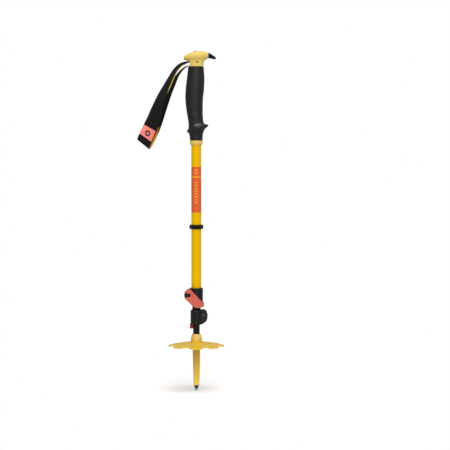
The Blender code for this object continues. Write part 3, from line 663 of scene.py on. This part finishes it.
def make_grip():
    """The ribbed grip with its bore, the spine let into its back and the collar below."""
    fine = smooth_values(FOAM, 420)
    rings = [foam_ring(*row) for row in fine]
    bore = [[around(FOAM_BORE, angle, height) for angle in full_turn(FOAM_STEPS)]
            for height in (FOAM_BOTTOM, FOAM_TOP)]
    foam = new_piece("grip_rubber", lofted(rings + bore, closed=True))
    inlay_rows = [row for row in fine if SPINE_BOTTOM < row[3] < SPINE_TOP]
    low, high = inlay_rows[-1][3], inlay_rows[0][3]

    def inlay(grow, outer, inner):
        """The spine's slim leaf shape, from one depth of the grip's surface to another."""
        rings = []
        for row in inlay_rows[::2]:
            share = (row[3] - low) / (high - low)
            half = (1.2 + 4.6 * math.sin(math.pi * min(share * 1.15, 1.0)) ** 0.7
                    * (0.55 + 0.45 * share)) + grow
            rear, front, half_width, height, _ = row
            middle, reach = (rear + front) / 2, (front - rear) / 2
            points = []
            for lift, order in ((outer, range(-6, 7)), (inner, range(6, -7, -1))):
                for k in order:
                    y = half * k / 6
                    ratio = min(abs(y) / half_width, 0.95)
                    x = middle - (reach + lift) * (1 - ratio ** FOAM_POWER) ** (1 / FOAM_POWER)
                    points.append(at(x, y, height))
            rings.append(points)
        return lofted(rings)

    combine(foam, inlay(0.15, 3.0, -0.9))
    finish_piece(foam, RUBBER, "upper_section", "black_rubber", "grip_foam")
    add_piece("spine_inlay", inlay(0.0, 0.25, -0.8), PALE_YELLOW, "upper_section",
              "pale_yellow", "grip_spine")

    top, bottom = high_mm("grip_collar"), low_mm("grip_collar")
    step, bottom = bottom + 2.6, bottom + 1.2
    profile = [(9.25, top), (11.2, top), (11.75, top - 0.6), (11.75, step + 1.2),
               (11.3, step + 0.3), (10.6, step), (10.3, bottom + 0.3), (9.9, bottom),
               (9.25, bottom)]
    add_piece("collar_ring", turned(rounded_profile(profile, 0.5)), PALE_YELLOW,
              "upper_section", "pale_yellow", "grip_collar")


# ---------------------------------------------------------------- tubes and label

# Outer radius and bore of each tube.
UPPER_TUBE, MIDDLE_TUBE, LOWER_TUBE = (9.0, 8.3), (7.5, 6.8), (6.0, 5.2)


def ring_band(radius, thickness, low, high):
    """A thin sleeve lying on a tube."""
    outer = radius + thickness
    return turned([(radius, low), (outer, low), (outer, high), (radius, high)])


def curved_patch(radius, thickness, outline, facing):
    """A thin printed shape on a tube: outline points are (sideways mm, height)."""
    bm = bmesh.new()
    inner, outer = [[bm.verts.new(around(r, facing + side / radius, height))
                     for side, height in outline] for r in (radius, radius + thickness)]
    bm.faces.new(list(reversed(inner)))
    bm.faces.new(outer)
    for i in range(len(outline)):
        j = (i + 1) % len(outline)
        bm.faces.new((inner[i], inner[j], outer[j], outer[i]))
    return bm


def tube_piece(name, size, node, material, body, slot, slit=None):
    """A tube as long as its node; slit is the length and turn of a saw cut at its foot."""
    radius, bore = size
    low, high = low_mm(node), high_mm(node)
    profile = [(bore, low), (radius, low), (radius, high), (bore, high)]
    piece = new_piece(name, turned(rounded_profile(profile, 0.25, 2)))
    if slit:
        length, turn = slit
        cut = box_mesh((-radius - 5, -0.6, low - 5), (0, 0.6, low + length))
        cut.transform(Matrix.Rotation(turn, 4, "Z"))
        combine(piece, cut)
    return finish_piece(piece, material, body, slot, node)


LABEL_TOP, LABEL_BOTTOM = 409.2, 326.0
STRIPE_TOP, STRIPE_BOTTOM = 392.5, 389.1
FACINGS = (-math.pi / 2, math.pi / 2)        # the label is marked towards -Y and +Y


DASH_WIDTHS = (6.4, 7.2, 5.2, 7.2, 6.0, 7.2, 5.2, 6.8)
FIRST_DASH, DASH_PITCH, DASH_TALL = 380.6, 5.2, 2.3
DISC_HEIGHT, DISC_RADIUS_SQUARED, DISC_BARS = 400.6, 21, 9
TICK_PITCH, LONG_TICK, SHORT_TICK, TICK_TALL = 10.0, 9.0, 4.5, 0.6


def bar_outline(height, width, tall):
    """A bar as an outline of (sideways, height) points, split in five to follow a tube."""
    top = [(width * i / 5 - width / 2, height + tall / 2) for i in range(6)]
    return [(u, height - tall / 2) for u, _ in reversed(top)] + top


def print_marks(name, radius, thickness, shapes, *facts):
    """Thin printed shapes on a tube as one piece; shapes are (outline, facing) pairs."""
    bm = bmesh.new()
    for outline, facing in shapes:
        mesh = mesh_from(curved_patch(radius, thickness, outline, facing))
        bm.from_mesh(mesh)
        bpy.data.meshes.remove(mesh)
    add_piece(name, mesh_from(bm), *facts)


def make_label():
    """A coral label with a stripe, a row of dashes and a disc built of narrow bars."""
    radius = UPPER_TUBE[0]
    add_piece("tube_label", ring_band(radius + 0.01, 0.05, LABEL_BOTTOM, LABEL_TOP), LABEL,
              "upper_section", "coral")
    add_piece("label_stripe", ring_band(radius + 0.02, 0.07, STRIPE_BOTTOM, STRIPE_TOP),
              LABEL_MARK, "upper_section", "yellow_paint")
    outlines = [bar_outline(FIRST_DASH - DASH_PITCH * i, width, DASH_TALL)
                for i, width in enumerate(DASH_WIDTHS)]
    for i in range(DISC_BARS):
        rise = i - DISC_BARS // 2
        width = 2 * math.sqrt(DISC_RADIUS_SQUARED - rise * rise)
        outlines.append(bar_outline(DISC_HEIGHT + rise, width, 1.02))
    shapes = [(outline, facing) for facing in FACINGS for outline in outlines]
    print_marks("label_marks", radius + 0.03, 0.06, shapes, LABEL_MARK, "upper_section",
                "yellow_paint")


def make_scale(name, radius, low, high, body):
    """Ticks every 10 mm, longer every 50 mm, on the part of a tube that draws out."""
    shapes = []
    for i in range(int((high - low) // TICK_PITCH) + 1):
        width = LONG_TICK if i % 5 == 0 else SHORT_TICK
        outline = bar_outline(low + TICK_PITCH * i, width, TICK_TALL)
        shapes.append((outline, FACINGS[0]))
    print_marks(name, radius + 0.01, 0.04, shapes, SCALE_MARK, body, "black_paint")


def make_tubes():
    tube_piece("yellow_tube", UPPER_TUBE, "upper_shaft", YELLOW_PAINT, "upper_section",
               "yellow_paint", (25.6, math.radians(40)))
    tube_piece("middle_tube", MIDDLE_TUBE, "middle_shaft", BLACK_TUBE, "middle_section",
               "black_paint", (22.0, math.pi))
    tube_piece("lower_tube", LOWER_TUBE, "lower_shaft", BLACK_TUBE, "lower_section",
               "black_paint")
    make_label()
    make_scale("middle_scale", MIDDLE_TUBE[0], 240.0, 500.0, "middle_section")
    make_scale("lower_scale", LOWER_TUBE[0], 210.0, 480.0, "lower_section")


def make_keeper_ring():
    """A rubber ring with six shallow finger lobes and a notch at the front."""
    low, high = low_mm("keeper_ring") - 0.3, high_mm("keeper_ring") + 1.2
    middle, half = (low + high) / 2, (high - low) / 2
    bore = 9.1
    rings = []
    for angle in full_turn(192):
        reach = 12.4 + 0.55 * math.cos(6 * angle)
        notch = math.exp(-((angle - 1.5 * math.pi) / 0.1) ** 2)
        reach -= 0.9 * notch
        section = rounded_profile([(bore, middle - half * 0.85), (bore + 1.6, middle - half),
                                   (reach - 0.5, middle - half * 0.75),
                                   (reach, middle), (reach - 0.5, middle + half * 0.75),
                                   (bore + 1.6, middle + half - 0.8 * notch),
                                   (bore, middle + half * 0.85)], 0.7, 3)
        rings.append([around(r, angle, h) for r, h in section])
    add_piece("rubber_ring", lofted(rings, closed=True), SMOOTH_RUBBER, "ring",
              "black_rubber", "keeper_ring")


# ---------------------------------------------------------------- lever locks

def lock_facts(side, drop, sleeve, tube, inner, turn, body, ear, tail, tab, crest):
    """Where a lock sits, from its clamp in the frame; drop is the pin's depth in it.

    ear and tail are outlines as (x, height above the pin); tab is how far the lever's tip
    stands off the sleeve; crest is the radius of the lever's rounded end.
    """
    top, bottom = high_mm(side + "_clamp"), low_mm(side + "_clamp")
    return dict(side=side, sleeve=sleeve, tube=tube, inner=inner, turn=turn, body=body,
                top=top, bottom=bottom, level=top - drop, ear=ear, tail=tail, tab=tab,
                crest=crest, bolt=-sleeve - 1.9, pivot=(-sleeve - 4.8, -10.5))


UPPER_EAR = arc((-10.2, 0.0), 11.9, 90, 262, 48) + [(-6.5, -13.1), (0.0, -13.3), (0.0, 12.1)]
LOWER_EAR = [(0.0, 11.6), (-8.6, 11.6), (-13.6, 11.4), (-16.8, 10.6), (-18.5, 8.4),
             (-19.8, 4.8), (-20.6, 0.8), (-20.4, -3.5), (-19.4, -7.6), (-16.9, -11.2),
             (-12.6, -14.0), (-7.5, -16.2), (0.0, -14.0)]
UPPER_TAIL = [(-7.9, -18.2), (-5.6, -20.2), (-3.2, -21.6), (-0.6, -22.3), (5.1, -22.5),
              (10.9, -21.7), (13.4, -21.2), (14.6, -20.0), (14.8, -14.2), (13.6, -12.8),
              (10.9, -12.2)]
LOWER_TAIL = [(-6.8, -17.6), (-3.6, -21.6), (0.0, -24.4), (6.5, -24.8), (10.4, -24.4),
              (12.2, -23.4), (12.6, -21.6), (12.6, -15.6), (11.4, -14.2), (9.7, -13.4)]
LOCKS = [lock_facts("upper", 13.1, 12.1, UPPER_TUBE[0], MIDDLE_TUBE[0], 0.0, "upper_section",
                    UPPER_EAR, UPPER_TAIL, 2.0, 10.3),
         lock_facts("lower", 14.4, 10.8, MIDDLE_TUBE[0], LOWER_TUBE[0], math.pi,
                    "middle_section", LOWER_EAR, LOWER_TAIL, 1.3, 9.6)]
EAR_HALF, SLOT_IN = 6.8, -2.5
CAM, EYE, PIN = 2.3, 2.5, 1.2               # radii of the cam, the bolt's eye and the pin
NUT_LOW, NUT_HIGH = 5.3, 7.3                 # how far out the nut starts and ends


def lock_mesh(lock, mesh):
    mesh.transform(Matrix.Rotation(lock["turn"], 4, "Z"))
    return mesh


def clamp_shoulder(lock):
    """What is turned away round the clamp's top: a small chamfer, or a sloping shoulder."""
    sleeve, top = lock["sleeve"], lock["top"]
    if lock["side"] == "upper":
        return [(sleeve + 2, top + 1), (sleeve + 2, top - 1.6), (sleeve - 1.5, top + 1)]
    return [(sleeve + 2, top + 1), (sleeve + 2, top - 7.2), (sleeve, top - 6.4),
            (10.1, top - 4.5), (8.7, top - 2.9), (5.0, top - 2.3), (5.0, top + 1)]


def make_clamp(lock):
    """A sleeve and its ears, slit down the back and drilled for the draw bolt."""
    top, bottom, level, bolt_x = lock["top"], lock["bottom"], lock["level"], lock["bolt"]
    sleeve, name = lock["sleeve"], lock["side"] + "_clamp_body"
    clamp = new_piece(name, cylinder(sleeve, top - bottom, (0, 0, (top + bottom) / 2),
                                     steps=96))
    combine(clamp, turned(clamp_shoulder(lock)))
    ear = [(x, level + up) for x, up in lock["ear"]]
    combine(clamp, lock_mesh(lock, prism(ear, -EAR_HALF, EAR_HALF, "Y")), "UNION")
    moulded(clamp, 0.4, 7)
    tube_end = low_mm({"upper": "upper_shaft", "lower": "middle_shaft"}[lock["side"]])
    combine(clamp, cylinder(lock["tube"] + 0.25, 60, (0, 0, tube_end + 29.7), steps=96))
    combine(clamp, cylinder(lock["inner"] + 0.25, 80, (0, 0, bottom), steps=96))
    slit = box_mesh((-40, -0.72, bottom - 5), (-5.3, 0.71, top + 5))
    combine(clamp, lock_mesh(lock, slit))
    combine(clamp, lock_mesh(lock, cylinder(2.1, 60, (bolt_x, 0, level), "Y")))
    combine(clamp, lock_mesh(lock, cylinder(4.2, 4, (bolt_x, EAR_HALF + 0.1, level), "Y")))
    finish_piece(clamp, BLACK_PLASTIC, lock["body"], "black_plastic", lock["side"] + "_clamp")


def make_lever(lock):
    """A lever curled round the sleeve from its cam, trimmed to its outline, and its pin."""
    sleeve, side, level = lock["sleeve"], lock["side"], lock["level"]
    pivot_x, pivot_y = lock["pivot"]
    section = arc((pivot_x, pivot_y), CAM, 90, 262, 16)
    section += arc((0, 0), sleeve + 2.9, 240, 322, 32)
    section += arc((0, 0), sleeve + lock["tab"], 338, 357, 6)
    section += arc((0, 0), sleeve + 0.45, 358, 226, 48)
    section += [(-sleeve - SLOT_IN, pivot_y + CAM)]
    lever = new_piece(side + "_lever_arm", prism(section, level - 27, level + 12.1, "Z"))
    outline = arc((-sleeve - 0.5, level + 0.9), lock["crest"], 76, 225, 40)
    outline += [(x, level + up) for x, up in lock["tail"]]
    combine(lever, prism(outline, -30, 30, "Y"), "INTERSECT")
    moulded(lever, 0.3, 5)
    half = 3.4
    slot = arc((-sleeve - SLOT_IN - half - 0.4, level + 0.4), half, -90, 90, 20)
    slot += [(-40, level + 0.4 + half), (-40, level + 0.4 - half)]
    combine(lever, prism(slot, -30, 30, "Y"))
    combine(lever, cylinder(PIN + 0.2, 12.8, (pivot_x, pivot_y, level), "Z", 32))
    lock_mesh(lock, lever.data)
    finish_piece(lever, CORAL, side + "_lever", "coral", side + "_lever")

    pin = new_piece(side + "_pin", cylinder(PIN, 12.0, (pivot_x, pivot_y, level), "Z", 32))
    bevelled(pin, 0.25)
    lock_mesh(lock, pin.data)
    finish_piece(pin, DARK_METAL, side + "_lever", "steel", side + "_lever_pin")


def make_bolt(lock):
    """The eye bolt that the lever draws, the plate its cam rubs on and the slotted nut."""
    level, side, bolt_x = lock["level"], lock["side"], lock["bolt"]
    pivot = lock["pivot"]
    bolt = new_piece(side + "_draw_bolt", cylinder(1.8, 17.0, (bolt_x, -1.6, level), "Y", 40))
    block = arc(pivot, EYE, 90, 270, 20)
    block += arc((bolt_x + 0.6, pivot[1]), EYE - 0.2, -80, 72, 14)
    combine(bolt, bevelled_mesh(prism(block, level - 2.6, level + 2.6, "Z"), 0.5), "UNION")
    combine(bolt, cylinder(PIN + 0.1, 30, (*pivot, level), "Z", 32))
    lock_mesh(lock, bolt.data)
    finish_piece(bolt, DARK_METAL, lock["body"], "steel", side + "_eye_bolt")

    disc = arc((bolt_x - 0.9, level), 4.7, 0, 350, 35)
    plate = new_piece(side + "_cam_plate", prism(disc, -EAR_HALF - 0.9, -EAR_HALF - 0.3, "Y"))
    combine(plate, cylinder(2.1, 60, (bolt_x, 0, level), "Y"))
    lock_mesh(lock, plate.data)
    finish_piece(plate, DARK_METAL, lock["body"], "steel", side + "_wear_plate")

    nut = new_piece(side + "_nut_head", cylinder(3.4, NUT_HIGH - NUT_LOW, (
        bolt_x, (NUT_LOW + NUT_HIGH) / 2, level), "Y", 64))
    bevelled(nut, 0.5)
    combine(nut, cylinder(1.95, 30, (bolt_x, 0, level), "Y", 40))
    combine(nut, box_mesh((bolt_x - 6, NUT_HIGH - 1.0, level - 0.6),
                          (bolt_x + 6, NUT_HIGH + 1, level + 0.6)))
    lock_mesh(lock, nut.data)
    finish_piece(nut, NUT_METAL, side + "_nut", "steel", side + "_tension_nut")


# ---------------------------------------------------------------- tip and basket

def make_tip():
    """The amber shroud with its drain hole, the black nose and the steel point."""
    top = high_mm("tip_shroud")
    profile = [(6.15, top), (7.2, top), (8.0, top - 0.9), (8.9, top - 3.4), (9.8, top - 7.4),
               (10.25, top - 10.0), (8.3, top - 10.2), (8.3, 79.7), (7.2, 79.5), (7.2, 75.6),
               (6.95, 74.8), (6.8, 72.2), (6.6, 64.0), (6.3, 46.0), (5.9, 28.0),
               (5.65, 16.0), (5.5, 10.0), (4.9, 9.2), (1.6, 9.2), (1.6, 26.0), (4.4, 76.7),
               (6.15, 76.7)]
    shroud = new_piece("amber_shroud", turned(rounded_profile(profile, 0.6)))
    combine(shroud, cylinder(1.7, 8, (-7.2, 8.0, 95.0), "Y", 32))
    finish_piece(shroud, AMBER, "lower_section", "amber_plastic", "tip_shroud")
    nose = [(1.7, 8.9), (4.5, 8.9), (4.6, 8.1), (3.6, 6.0), (2.75, 4.0), (1.7, 3.7)]
    add_piece("tip_nose", turned(rounded_profile(nose, 0.4)), BLACK_PLASTIC,
              "lower_section", "black_plastic", "tip_ferrule")
    point = [(0.0, 24.0), (1.35, 24.0), (1.35, 3.4), (2.3, 3.4), (2.3, 0.6), (1.8, 0.0),
             (0.0, 0.0)]
    add_piece("steel_point", turned(rounded_profile(point, 0.2), 48), STEEL,
              "lower_section", "steel", "carbide_tip")


BASKET_RADIUS, BASKET_NOTCH, LOBES = 50.9, 8.5, 8
HUB_RADIUS, HUB_BORE = 10.3, 8.55


def basket_rim(angle):
    """The rim's radius: broad lobes with round-bottomed notches between them."""
    wave = 0.5 + 0.5 * math.cos(LOBES * angle)
    return BASKET_RADIUS - BASKET_NOTCH * (1 - 1 / (1 + math.exp(-13 * (wave - 0.26))))


def basket_face(radius):
    """Height of the upper face before ribs: it droops from the hub to the rim."""
    share = max(radius - HUB_RADIUS, 0.0) / (BASKET_RADIUS - HUB_RADIUS)
    return 88.4 - 6.4 * share ** 1.2


def make_basket():
    """Radial sections all round: hub, ribbed upper face, rim bead and lower face."""
    top, bottom = high_mm("powder_basket") + 1.0, 80.0
    radial = 22
    rings = []
    for angle in full_turn(384):
        rim = basket_rim(angle)
        wave = math.cos(LOBES * angle)
        rib = 0.5 * smoothstep(0.94, 0.995, wave)
        section = [(HUB_BORE, top), (HUB_RADIUS - 0.3, top), (HUB_RADIUS, top - 0.4),
                   (HUB_RADIUS, 90.8)]
        upper, lower = [], []
        for k in range(radial + 1):
            share = k / radial
            radius = HUB_RADIUS + (rim - HUB_RADIUS) * (0.02 + 0.98 * share)
            face = basket_face(radius)
            bead = 0.6 * smoothstep(0.88, 0.95, share) * (1 - smoothstep(0.97, 1.0, share))
            thin = 1.9 - 0.5 * share
            upper.append((radius, face + bead + rib * (1 - smoothstep(0.8, 0.92, share))))
            lower.append((radius, face - thin))
        upper[-1] = (rim - 0.15, upper[-1][1] - 0.25)
        edge = (rim, (upper[-1][1] + lower[-1][1]) / 2)
        lower[-1] = (rim - 0.2, lower[-1][1] + 0.1)
        section += upper + [edge] + list(reversed(lower))
        section += [(HUB_RADIUS, bottom + 0.4), (HUB_RADIUS - 0.3, bottom), (HUB_BORE, bottom)]
        rings.append([at(r * math.sin(angle), -r * math.cos(angle), h) for r, h in section])
    add_piece("snow_basket", lofted(rings, closed=True), BASKET, "basket",
              "basket_plastic", "powder_basket", sharp=50)


# ---------------------------------------------------------------- wrist strap

FRONT_ROUTE = [(-9.7, 0.0, 599.9), (-25.8, 0.0, 595.3), (-36.7, -0.2, 585.5),
               (-45.4, -0.6, 571.2), (-53.3, -1.1, 555.8), (-60.5, -1.7, 540.9),
               (-66.4, -2.3, 525.8), (-71.4, -2.9, 511.1), (-76.8, -3.2, 495.2),
               (-83.0, -3.2, 480.8), (-89.6, -3.0, 466.6), (-95.8, -2.1, 452.9)]
REAR_ROUTE = [(-9.7, 0.0, 594.0), (-18.6, 0.0, 591.6), (-27.3, 0.1, 584.8),
              (-35.6, 0.4, 574.0), (-41.9, 0.9, 561.2), (-48.8, 1.4, 547.5),
              (-55.5, 2.0, 532.9), (-61.9, 2.5, 518.7), (-68.1, 2.8, 505.3),
              (-73.9, 2.9, 491.7), (-79.9, 2.8, 478.4), (-86.5, 2.6, 465.4),
              (-93.7, 2.1, 453.3)]
# Degrees turned from edge-on, at every tenth of a band's length from the head down.
FRONT_TWIST = [9.0, 20.0, 25.0, 29.0, 34.5, 42.0, 51.0, 62.0, 73.0, 83.0, 90.0]
REAR_TWIST = [2.0, 9.0, 15.0, 22.0, 28.0, 35.0, 44.0, 56.0, 68.0, 80.0, 90.0]
STATIONS, LANES = 150, 24                    # steps along each band and across it
WIDTH_AT_HEAD, STRAP_WIDTH = 17.0, 28.0
WEB_THICKNESS, LINING_THICKNESS = 1.3, 1.1
LINED_FROM, LINED_TO = 0.05, 0.79            # shares of the front and the rear band
FOLD_SKEW = math.radians(12)                 # the loop is creased a little off square


def route_frames(route, twists):
    """Centre, width direction and camera-side direction at each station of a band."""
    centres = [at(*row) for row in smooth_values(route, STATIONS)]
    angles = [math.radians(row[0]) for row in smooth_values([(t,) for t in twists], STATIONS)]
    frames = []
    for i, centre in enumerate(centres):
        share = i / STATIONS
        along = centres[min(i + 1, STATIONS)] - centres[max(i - 1, 0)]
        along.normalize()
        side = Vector((-along.z, 0.0, along.x)).normalized()
        twist, skew = angles[i], FOLD_SKEW * smoothstep(0.72, 0.97, share)
        across = Vector((0, math.cos(twist), 0)) - side * math.sin(twist)
        outward = across.cross(along).normalized()
        across = across * math.cos(skew) - along * math.sin(skew)
        width = WIDTH_AT_HEAD + (STRAP_WIDTH - WIDTH_AT_HEAD) * smoothstep(0.0, 0.7, share)
        frames.append((centre, across.normalized(), outward, width))
    return frames


def loop_frames():
    """The whole loop: down the front band, round the fold and up the rear band."""
    front = route_frames(FRONT_ROUTE, FRONT_TWIST)
    rear = route_frames(REAR_ROUTE, REAR_TWIST)
    start, end = front[-1], rear[-1]
    down = (front[-1][0] - front[-3][0]).normalized()
    fold = []
    turns = 14
    for k in range(1, turns):
        angle = math.pi * k / turns
        middle = start[0].lerp(end[0], (1 - math.cos(angle)) / 2)
        across = start[1].lerp(end[1], k / turns).normalized()
        outward = (start[2] * math.cos(angle) + down * math.sin(angle)).normalized()
        reach = (start[0] - end[0]).length / 2
        fold.append((middle + down * reach * 0.9 * math.sin(angle), across, outward,
                     STRAP_WIDTH))
    back = [(centre, across, -outward, width) for centre, across, outward, width
            in reversed(rear)]
    return front + fold + back


def band(name, frames, low, high, inset, crown=0.0):
    """A strip between two levels across the strap's thickness, with round long edges.

    Its weave attribute holds mm across and along the strip, for the woven materials.
    """
    rings, length, lengths = [], 0.0, []
    for k, (centre, across, outward, width) in enumerate(frames):
        if k:
            length += (centre - frames[k - 1][0]).length
        lengths.append(length)
        half = width / 2 - inset
        middle, thick = (low + high) / 2, (high - low) / 2
        ring = []
        for side in (1, -1):
            for i in range(LANES + 1):
                u = (-1 + 2 * i / LANES) * side
                rounding = math.sqrt(max(1 - max((abs(u) * half - half + 0.5) / 0.5, 0) ** 2,
                                         0.02))
                swell = crown * (1 - u * u) if side > 0 else 0.0
                level = middle + side * thick * rounding + swell
                ring.append(centre + across * (half * u * MM) + outward * (level * MM))
        rings.append(ring)
    piece = new_piece(name, lofted(rings))
    weave = piece.data.attributes.new("weave", "FLOAT_VECTOR", "POINT")
    per_ring = 2 * (LANES + 1)
    for k, (centre, across, outward, width) in enumerate(frames):
        half = width / 2 - inset
        for i in range(per_ring):
            u = (-1 + 2 * (i % (LANES + 1)) / LANES) * (1 if i <= LANES else -1)
            weave.data[k * per_ring + i].vector = (u * half, lengths[k] / MM, 0)
    return piece, length


def stitches(name, frames, offsets, level, pitch=2.4, long=1.6, thick=0.22):
    """Rows of short thread stitches on one face of the strap."""
    bm = bmesh.new()
    for offset in offsets:
        travelled, following = 0.0, 0.0
        for k in range(1, len(frames)):
            (centre, across, outward, width), before = frames[k], frames[k - 1]
            step = (centre - before[0]).length / MM
            along = (centre - before[0]).normalized()
            while following <= travelled + step:
                t = (following - travelled) / step
                spot = before[0].lerp(centre, t)
                edge = (width / 2 - abs(offset)) * (1 if offset > 0 else -1)
                spot = spot + across * edge * MM + outward * level * MM
                basis = Matrix((along, across, outward)).transposed().to_4x4()
                shape = Matrix.Diagonal((long / 2 * MM, thick * MM, thick * MM, 1))
                bmesh.ops.create_icosphere(bm, subdivisions=1, radius=1.0,
                                           matrix=Matrix.Translation(spot) @ basis @ shape)
                following += pitch
            travelled += step
    return new_piece(name, mesh_from(bm))


def flat_ring(frames, share, outer, inner, level, thickness):
    """A thin ring lying on a band."""
    here, ahead = frames[int(share * STATIONS)], frames[int(share * STATIONS) + 2]
    along = (ahead[0] - here[0]).normalized()
    centre, across, outward = here[0], here[1], here[2]
    rings = []
    for angle in full_turn(48):
        way = across * math.cos(angle) + along * math.sin(angle)
        rings.append([centre + (way * radius + outward * lift) * MM for radius, lift in
                      ((inner, level), (outer, level), (outer, level + thickness),
                       (inner, level + thickness))])
    return lofted(rings, closed=True)


def lining_frames(frames):
    """The stretch of the loop that is lined, shifted sideways as it wanders in the photo."""
    lined = []
    for k, (centre, across, outward, width) in enumerate(frames):
        if LINED_FROM * STATIONS <= k <= len(frames) - LINED_TO * STATIONS:
            share, rear_share = k / STATIONS, (len(frames) - k) / STATIONS
            shift = 1.5 - 2.7 * smoothstep(0.36, 0.46, share) + 2.4 * smoothstep(0.8, 0.88, share)
            shift += 1.3 * smoothstep(0.85, 0.92, share) * (1 - smoothstep(0.96, 1.03, share))
            shift -= 3.5 * (1 - smoothstep(LINED_TO, LINED_TO + 0.11, rear_share))
            lined.append((centre - across * shift * MM, across, outward, width))
    return lined


def make_strap():
    """Webbing, lining, stitches and patch, all built along the same loop."""
    frames = loop_frames()
    split = LINING_THICKNESS / 2 - 0.4
    web, length = band("strap_webbing", frames, split, split + WEB_THICKNESS, 0.0, crown=0.25)
    lining, _ = band("strap_lining", lining_frames(frames), split - LINING_THICKNESS,
                     split - 0.05, 0.5)
    finish_piece(web, WEBBING, None, "webbing", "strap_front_band", "strap_rear_band", sharp=60)
    finish_piece(lining, LINING, None, "webbing", sharp=60)
    top_face = split + WEB_THICKNESS + 0.02
    thread = stitches("strap_stitches", frames[6:-6], (-2.2, 2.2), top_face)
    finish_piece(thread, DARK_MARK, None, "webbing", sharp=60)

    front = route_frames(FRONT_ROUTE, FRONT_TWIST)
    patch_frames = front[int(0.832 * STATIONS):int(0.95 * STATIONS)]
    narrowed = [(c + a * 0.7 * MM, a, o, 26.0) for c, a, o, w in patch_frames]
    patch, _ = band("strap_patch_print", narrowed, top_face, top_face + 0.5, 0.0)
    finish_piece(patch, SALMON, None, "salmon", "strap_patch", sharp=60)
    seam = stitches("patch_stitches", narrowed, (-1.3, 1.3), top_face + 0.5, 1.9, 1.2, 0.14)
    finish_piece(seam, SALMON, None, "salmon", sharp=60)
    mark = new_piece("patch_mark", flat_ring(front, 0.889, 5.0, 2.4, top_face + 0.45, 0.3))
    finish_piece(mark, DARK_MARK, None, "salmon")

    pieces = [web, lining, thread, patch, seam, mark]
    for piece in pieces:
        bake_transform(piece)


# ---------------------------------------------------------------- pieces kept from the CAD

def finish_kept_nodes():
    """The hidden pieces and the strap's pin keep their CAD meshes and get a material."""
    kept = {"strap_pin": PIN_METAL, "grip_core": PALE_YELLOW}
    for node in ("strap_wedge", "top_plug", "upper_liner", "middle_guide", "lower_liner",
                 "lower_guide", "shaft_end_plug"):
        kept[node] = BLACK_PLASTIC
    for node, material in kept.items():
        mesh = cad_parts[node].data
        mesh.materials.clear()
        mesh.materials.append(material)


# ---------------------------------------------------------------- stage, light and camera

FLOOR_COLOUR, FLOOR_GLOW, FLOOR_RADIUS = (0.84, 0.77, 0.66), (0.18, 0.25, 0.36), 0.25
ROOM_GLOW = 0.47


def sun_light(name, direction, angle, strength):
    """A broad, even light; direction points from the light to the pole."""
    light = bpy.data.lights.new(name, "SUN")
    light.angle = math.radians(angle)
    light.energy = strength
    lamp = bpy.data.objects.new(name, light)
    lamp.rotation_mode = "QUATERNION"
    lamp.rotation_quaternion = Vector(direction).to_track_quat("-Z", "Y")
    bpy.context.scene.collection.objects.link(lamp)


def make_floor():
    """A round white table; its faint glow makes up for the amber light the basket throws."""
    bm = bmesh.new()
    bmesh.ops.create_circle(bm, cap_ends=True, segments=96, radius=FLOOR_RADIUS)
    floor = new_piece("floor", mesh_from(bm))
    floor.location.z = TIP_Z - 0.2 * MM
    n = Nodes("floor_white")
    body = n.toned(n.noise(3.0), FLOOR_COLOUR, 1.0, 1.01)
    n.set(Roughness=0.9, Specular_IOR_Level=0.0, Emission_Strength=1.0)
    n.shader.inputs["Emission Color"].default_value = (*FLOOR_GLOW, 1.0)
    floor.data.materials.append(n.wire(body))


def make_studio():
    """An even white room: a white backdrop and a dimmer glow from it on the pole."""
    world = bpy.data.worlds.new("studio")
    world.use_nodes = True
    tree = world.node_tree
    glow = tree.nodes["Background"]
    glow.inputs["Color"].default_value = (1, 1, 1, 1)
    glow.inputs["Strength"].default_value = ROOM_GLOW
    backdrop = tree.nodes.new("ShaderNodeBackground")
    backdrop.inputs["Color"].default_value = (1, 1, 1, 1)
    chosen = tree.nodes.new("ShaderNodeMixShader")
    tree.links.new(tree.nodes.new("ShaderNodeLightPath").outputs["Is Camera Ray"],
                   chosen.inputs["Fac"])
    tree.links.new(glow.outputs[0], chosen.inputs[1])
    tree.links.new(backdrop.outputs[0], chosen.inputs[2])
    tree.links.new(chosen.outputs[0], tree.nodes["World Output"].inputs["Surface"])
    bpy.context.scene.world = world
    sun_light("overhead", (-0.12, 0.2, -1.0), 40, 1.25)
    sun_light("front", (-0.08, 1.0, -0.5), 50, 1.3)
    bpy.context.scene.view_settings.view_transform = "Standard"
    bpy.context.scene.view_settings.look = "None"


def make_camera():
    """A long lens a little above the pole's middle, with the pole left of centre."""
    side, height, distance = 0.0524, 0.41, 2.6
    aim = Vector((side, 0, TIP_Z + 0.303))
    place = Vector((side, -distance, TIP_Z + height))
    field = 0.8219                           # metres across the frame at the pole
    data = bpy.data.cameras.new("camera")
    data.sensor_width = 36.0
    data.lens = data.sensor_width * (aim - place).length / field
    camera = bpy.data.objects.new("camera", data)
    camera.location = place
    camera.rotation_mode = "QUATERNION"
    camera.rotation_quaternion = (aim - place).to_track_quat("-Z", "Y")
    bpy.context.scene.collection.objects.link(camera)
    bpy.context.scene.camera = camera


make_camera()
make_head()
make_grip()
make_tubes()
make_keeper_ring()
for lock in LOCKS:
    make_clamp(lock)
    make_lever(lock)
    make_bolt(lock)
make_tip()
make_basket()
make_strap()
finish_kept_nodes()
make_floor()
make_studio()
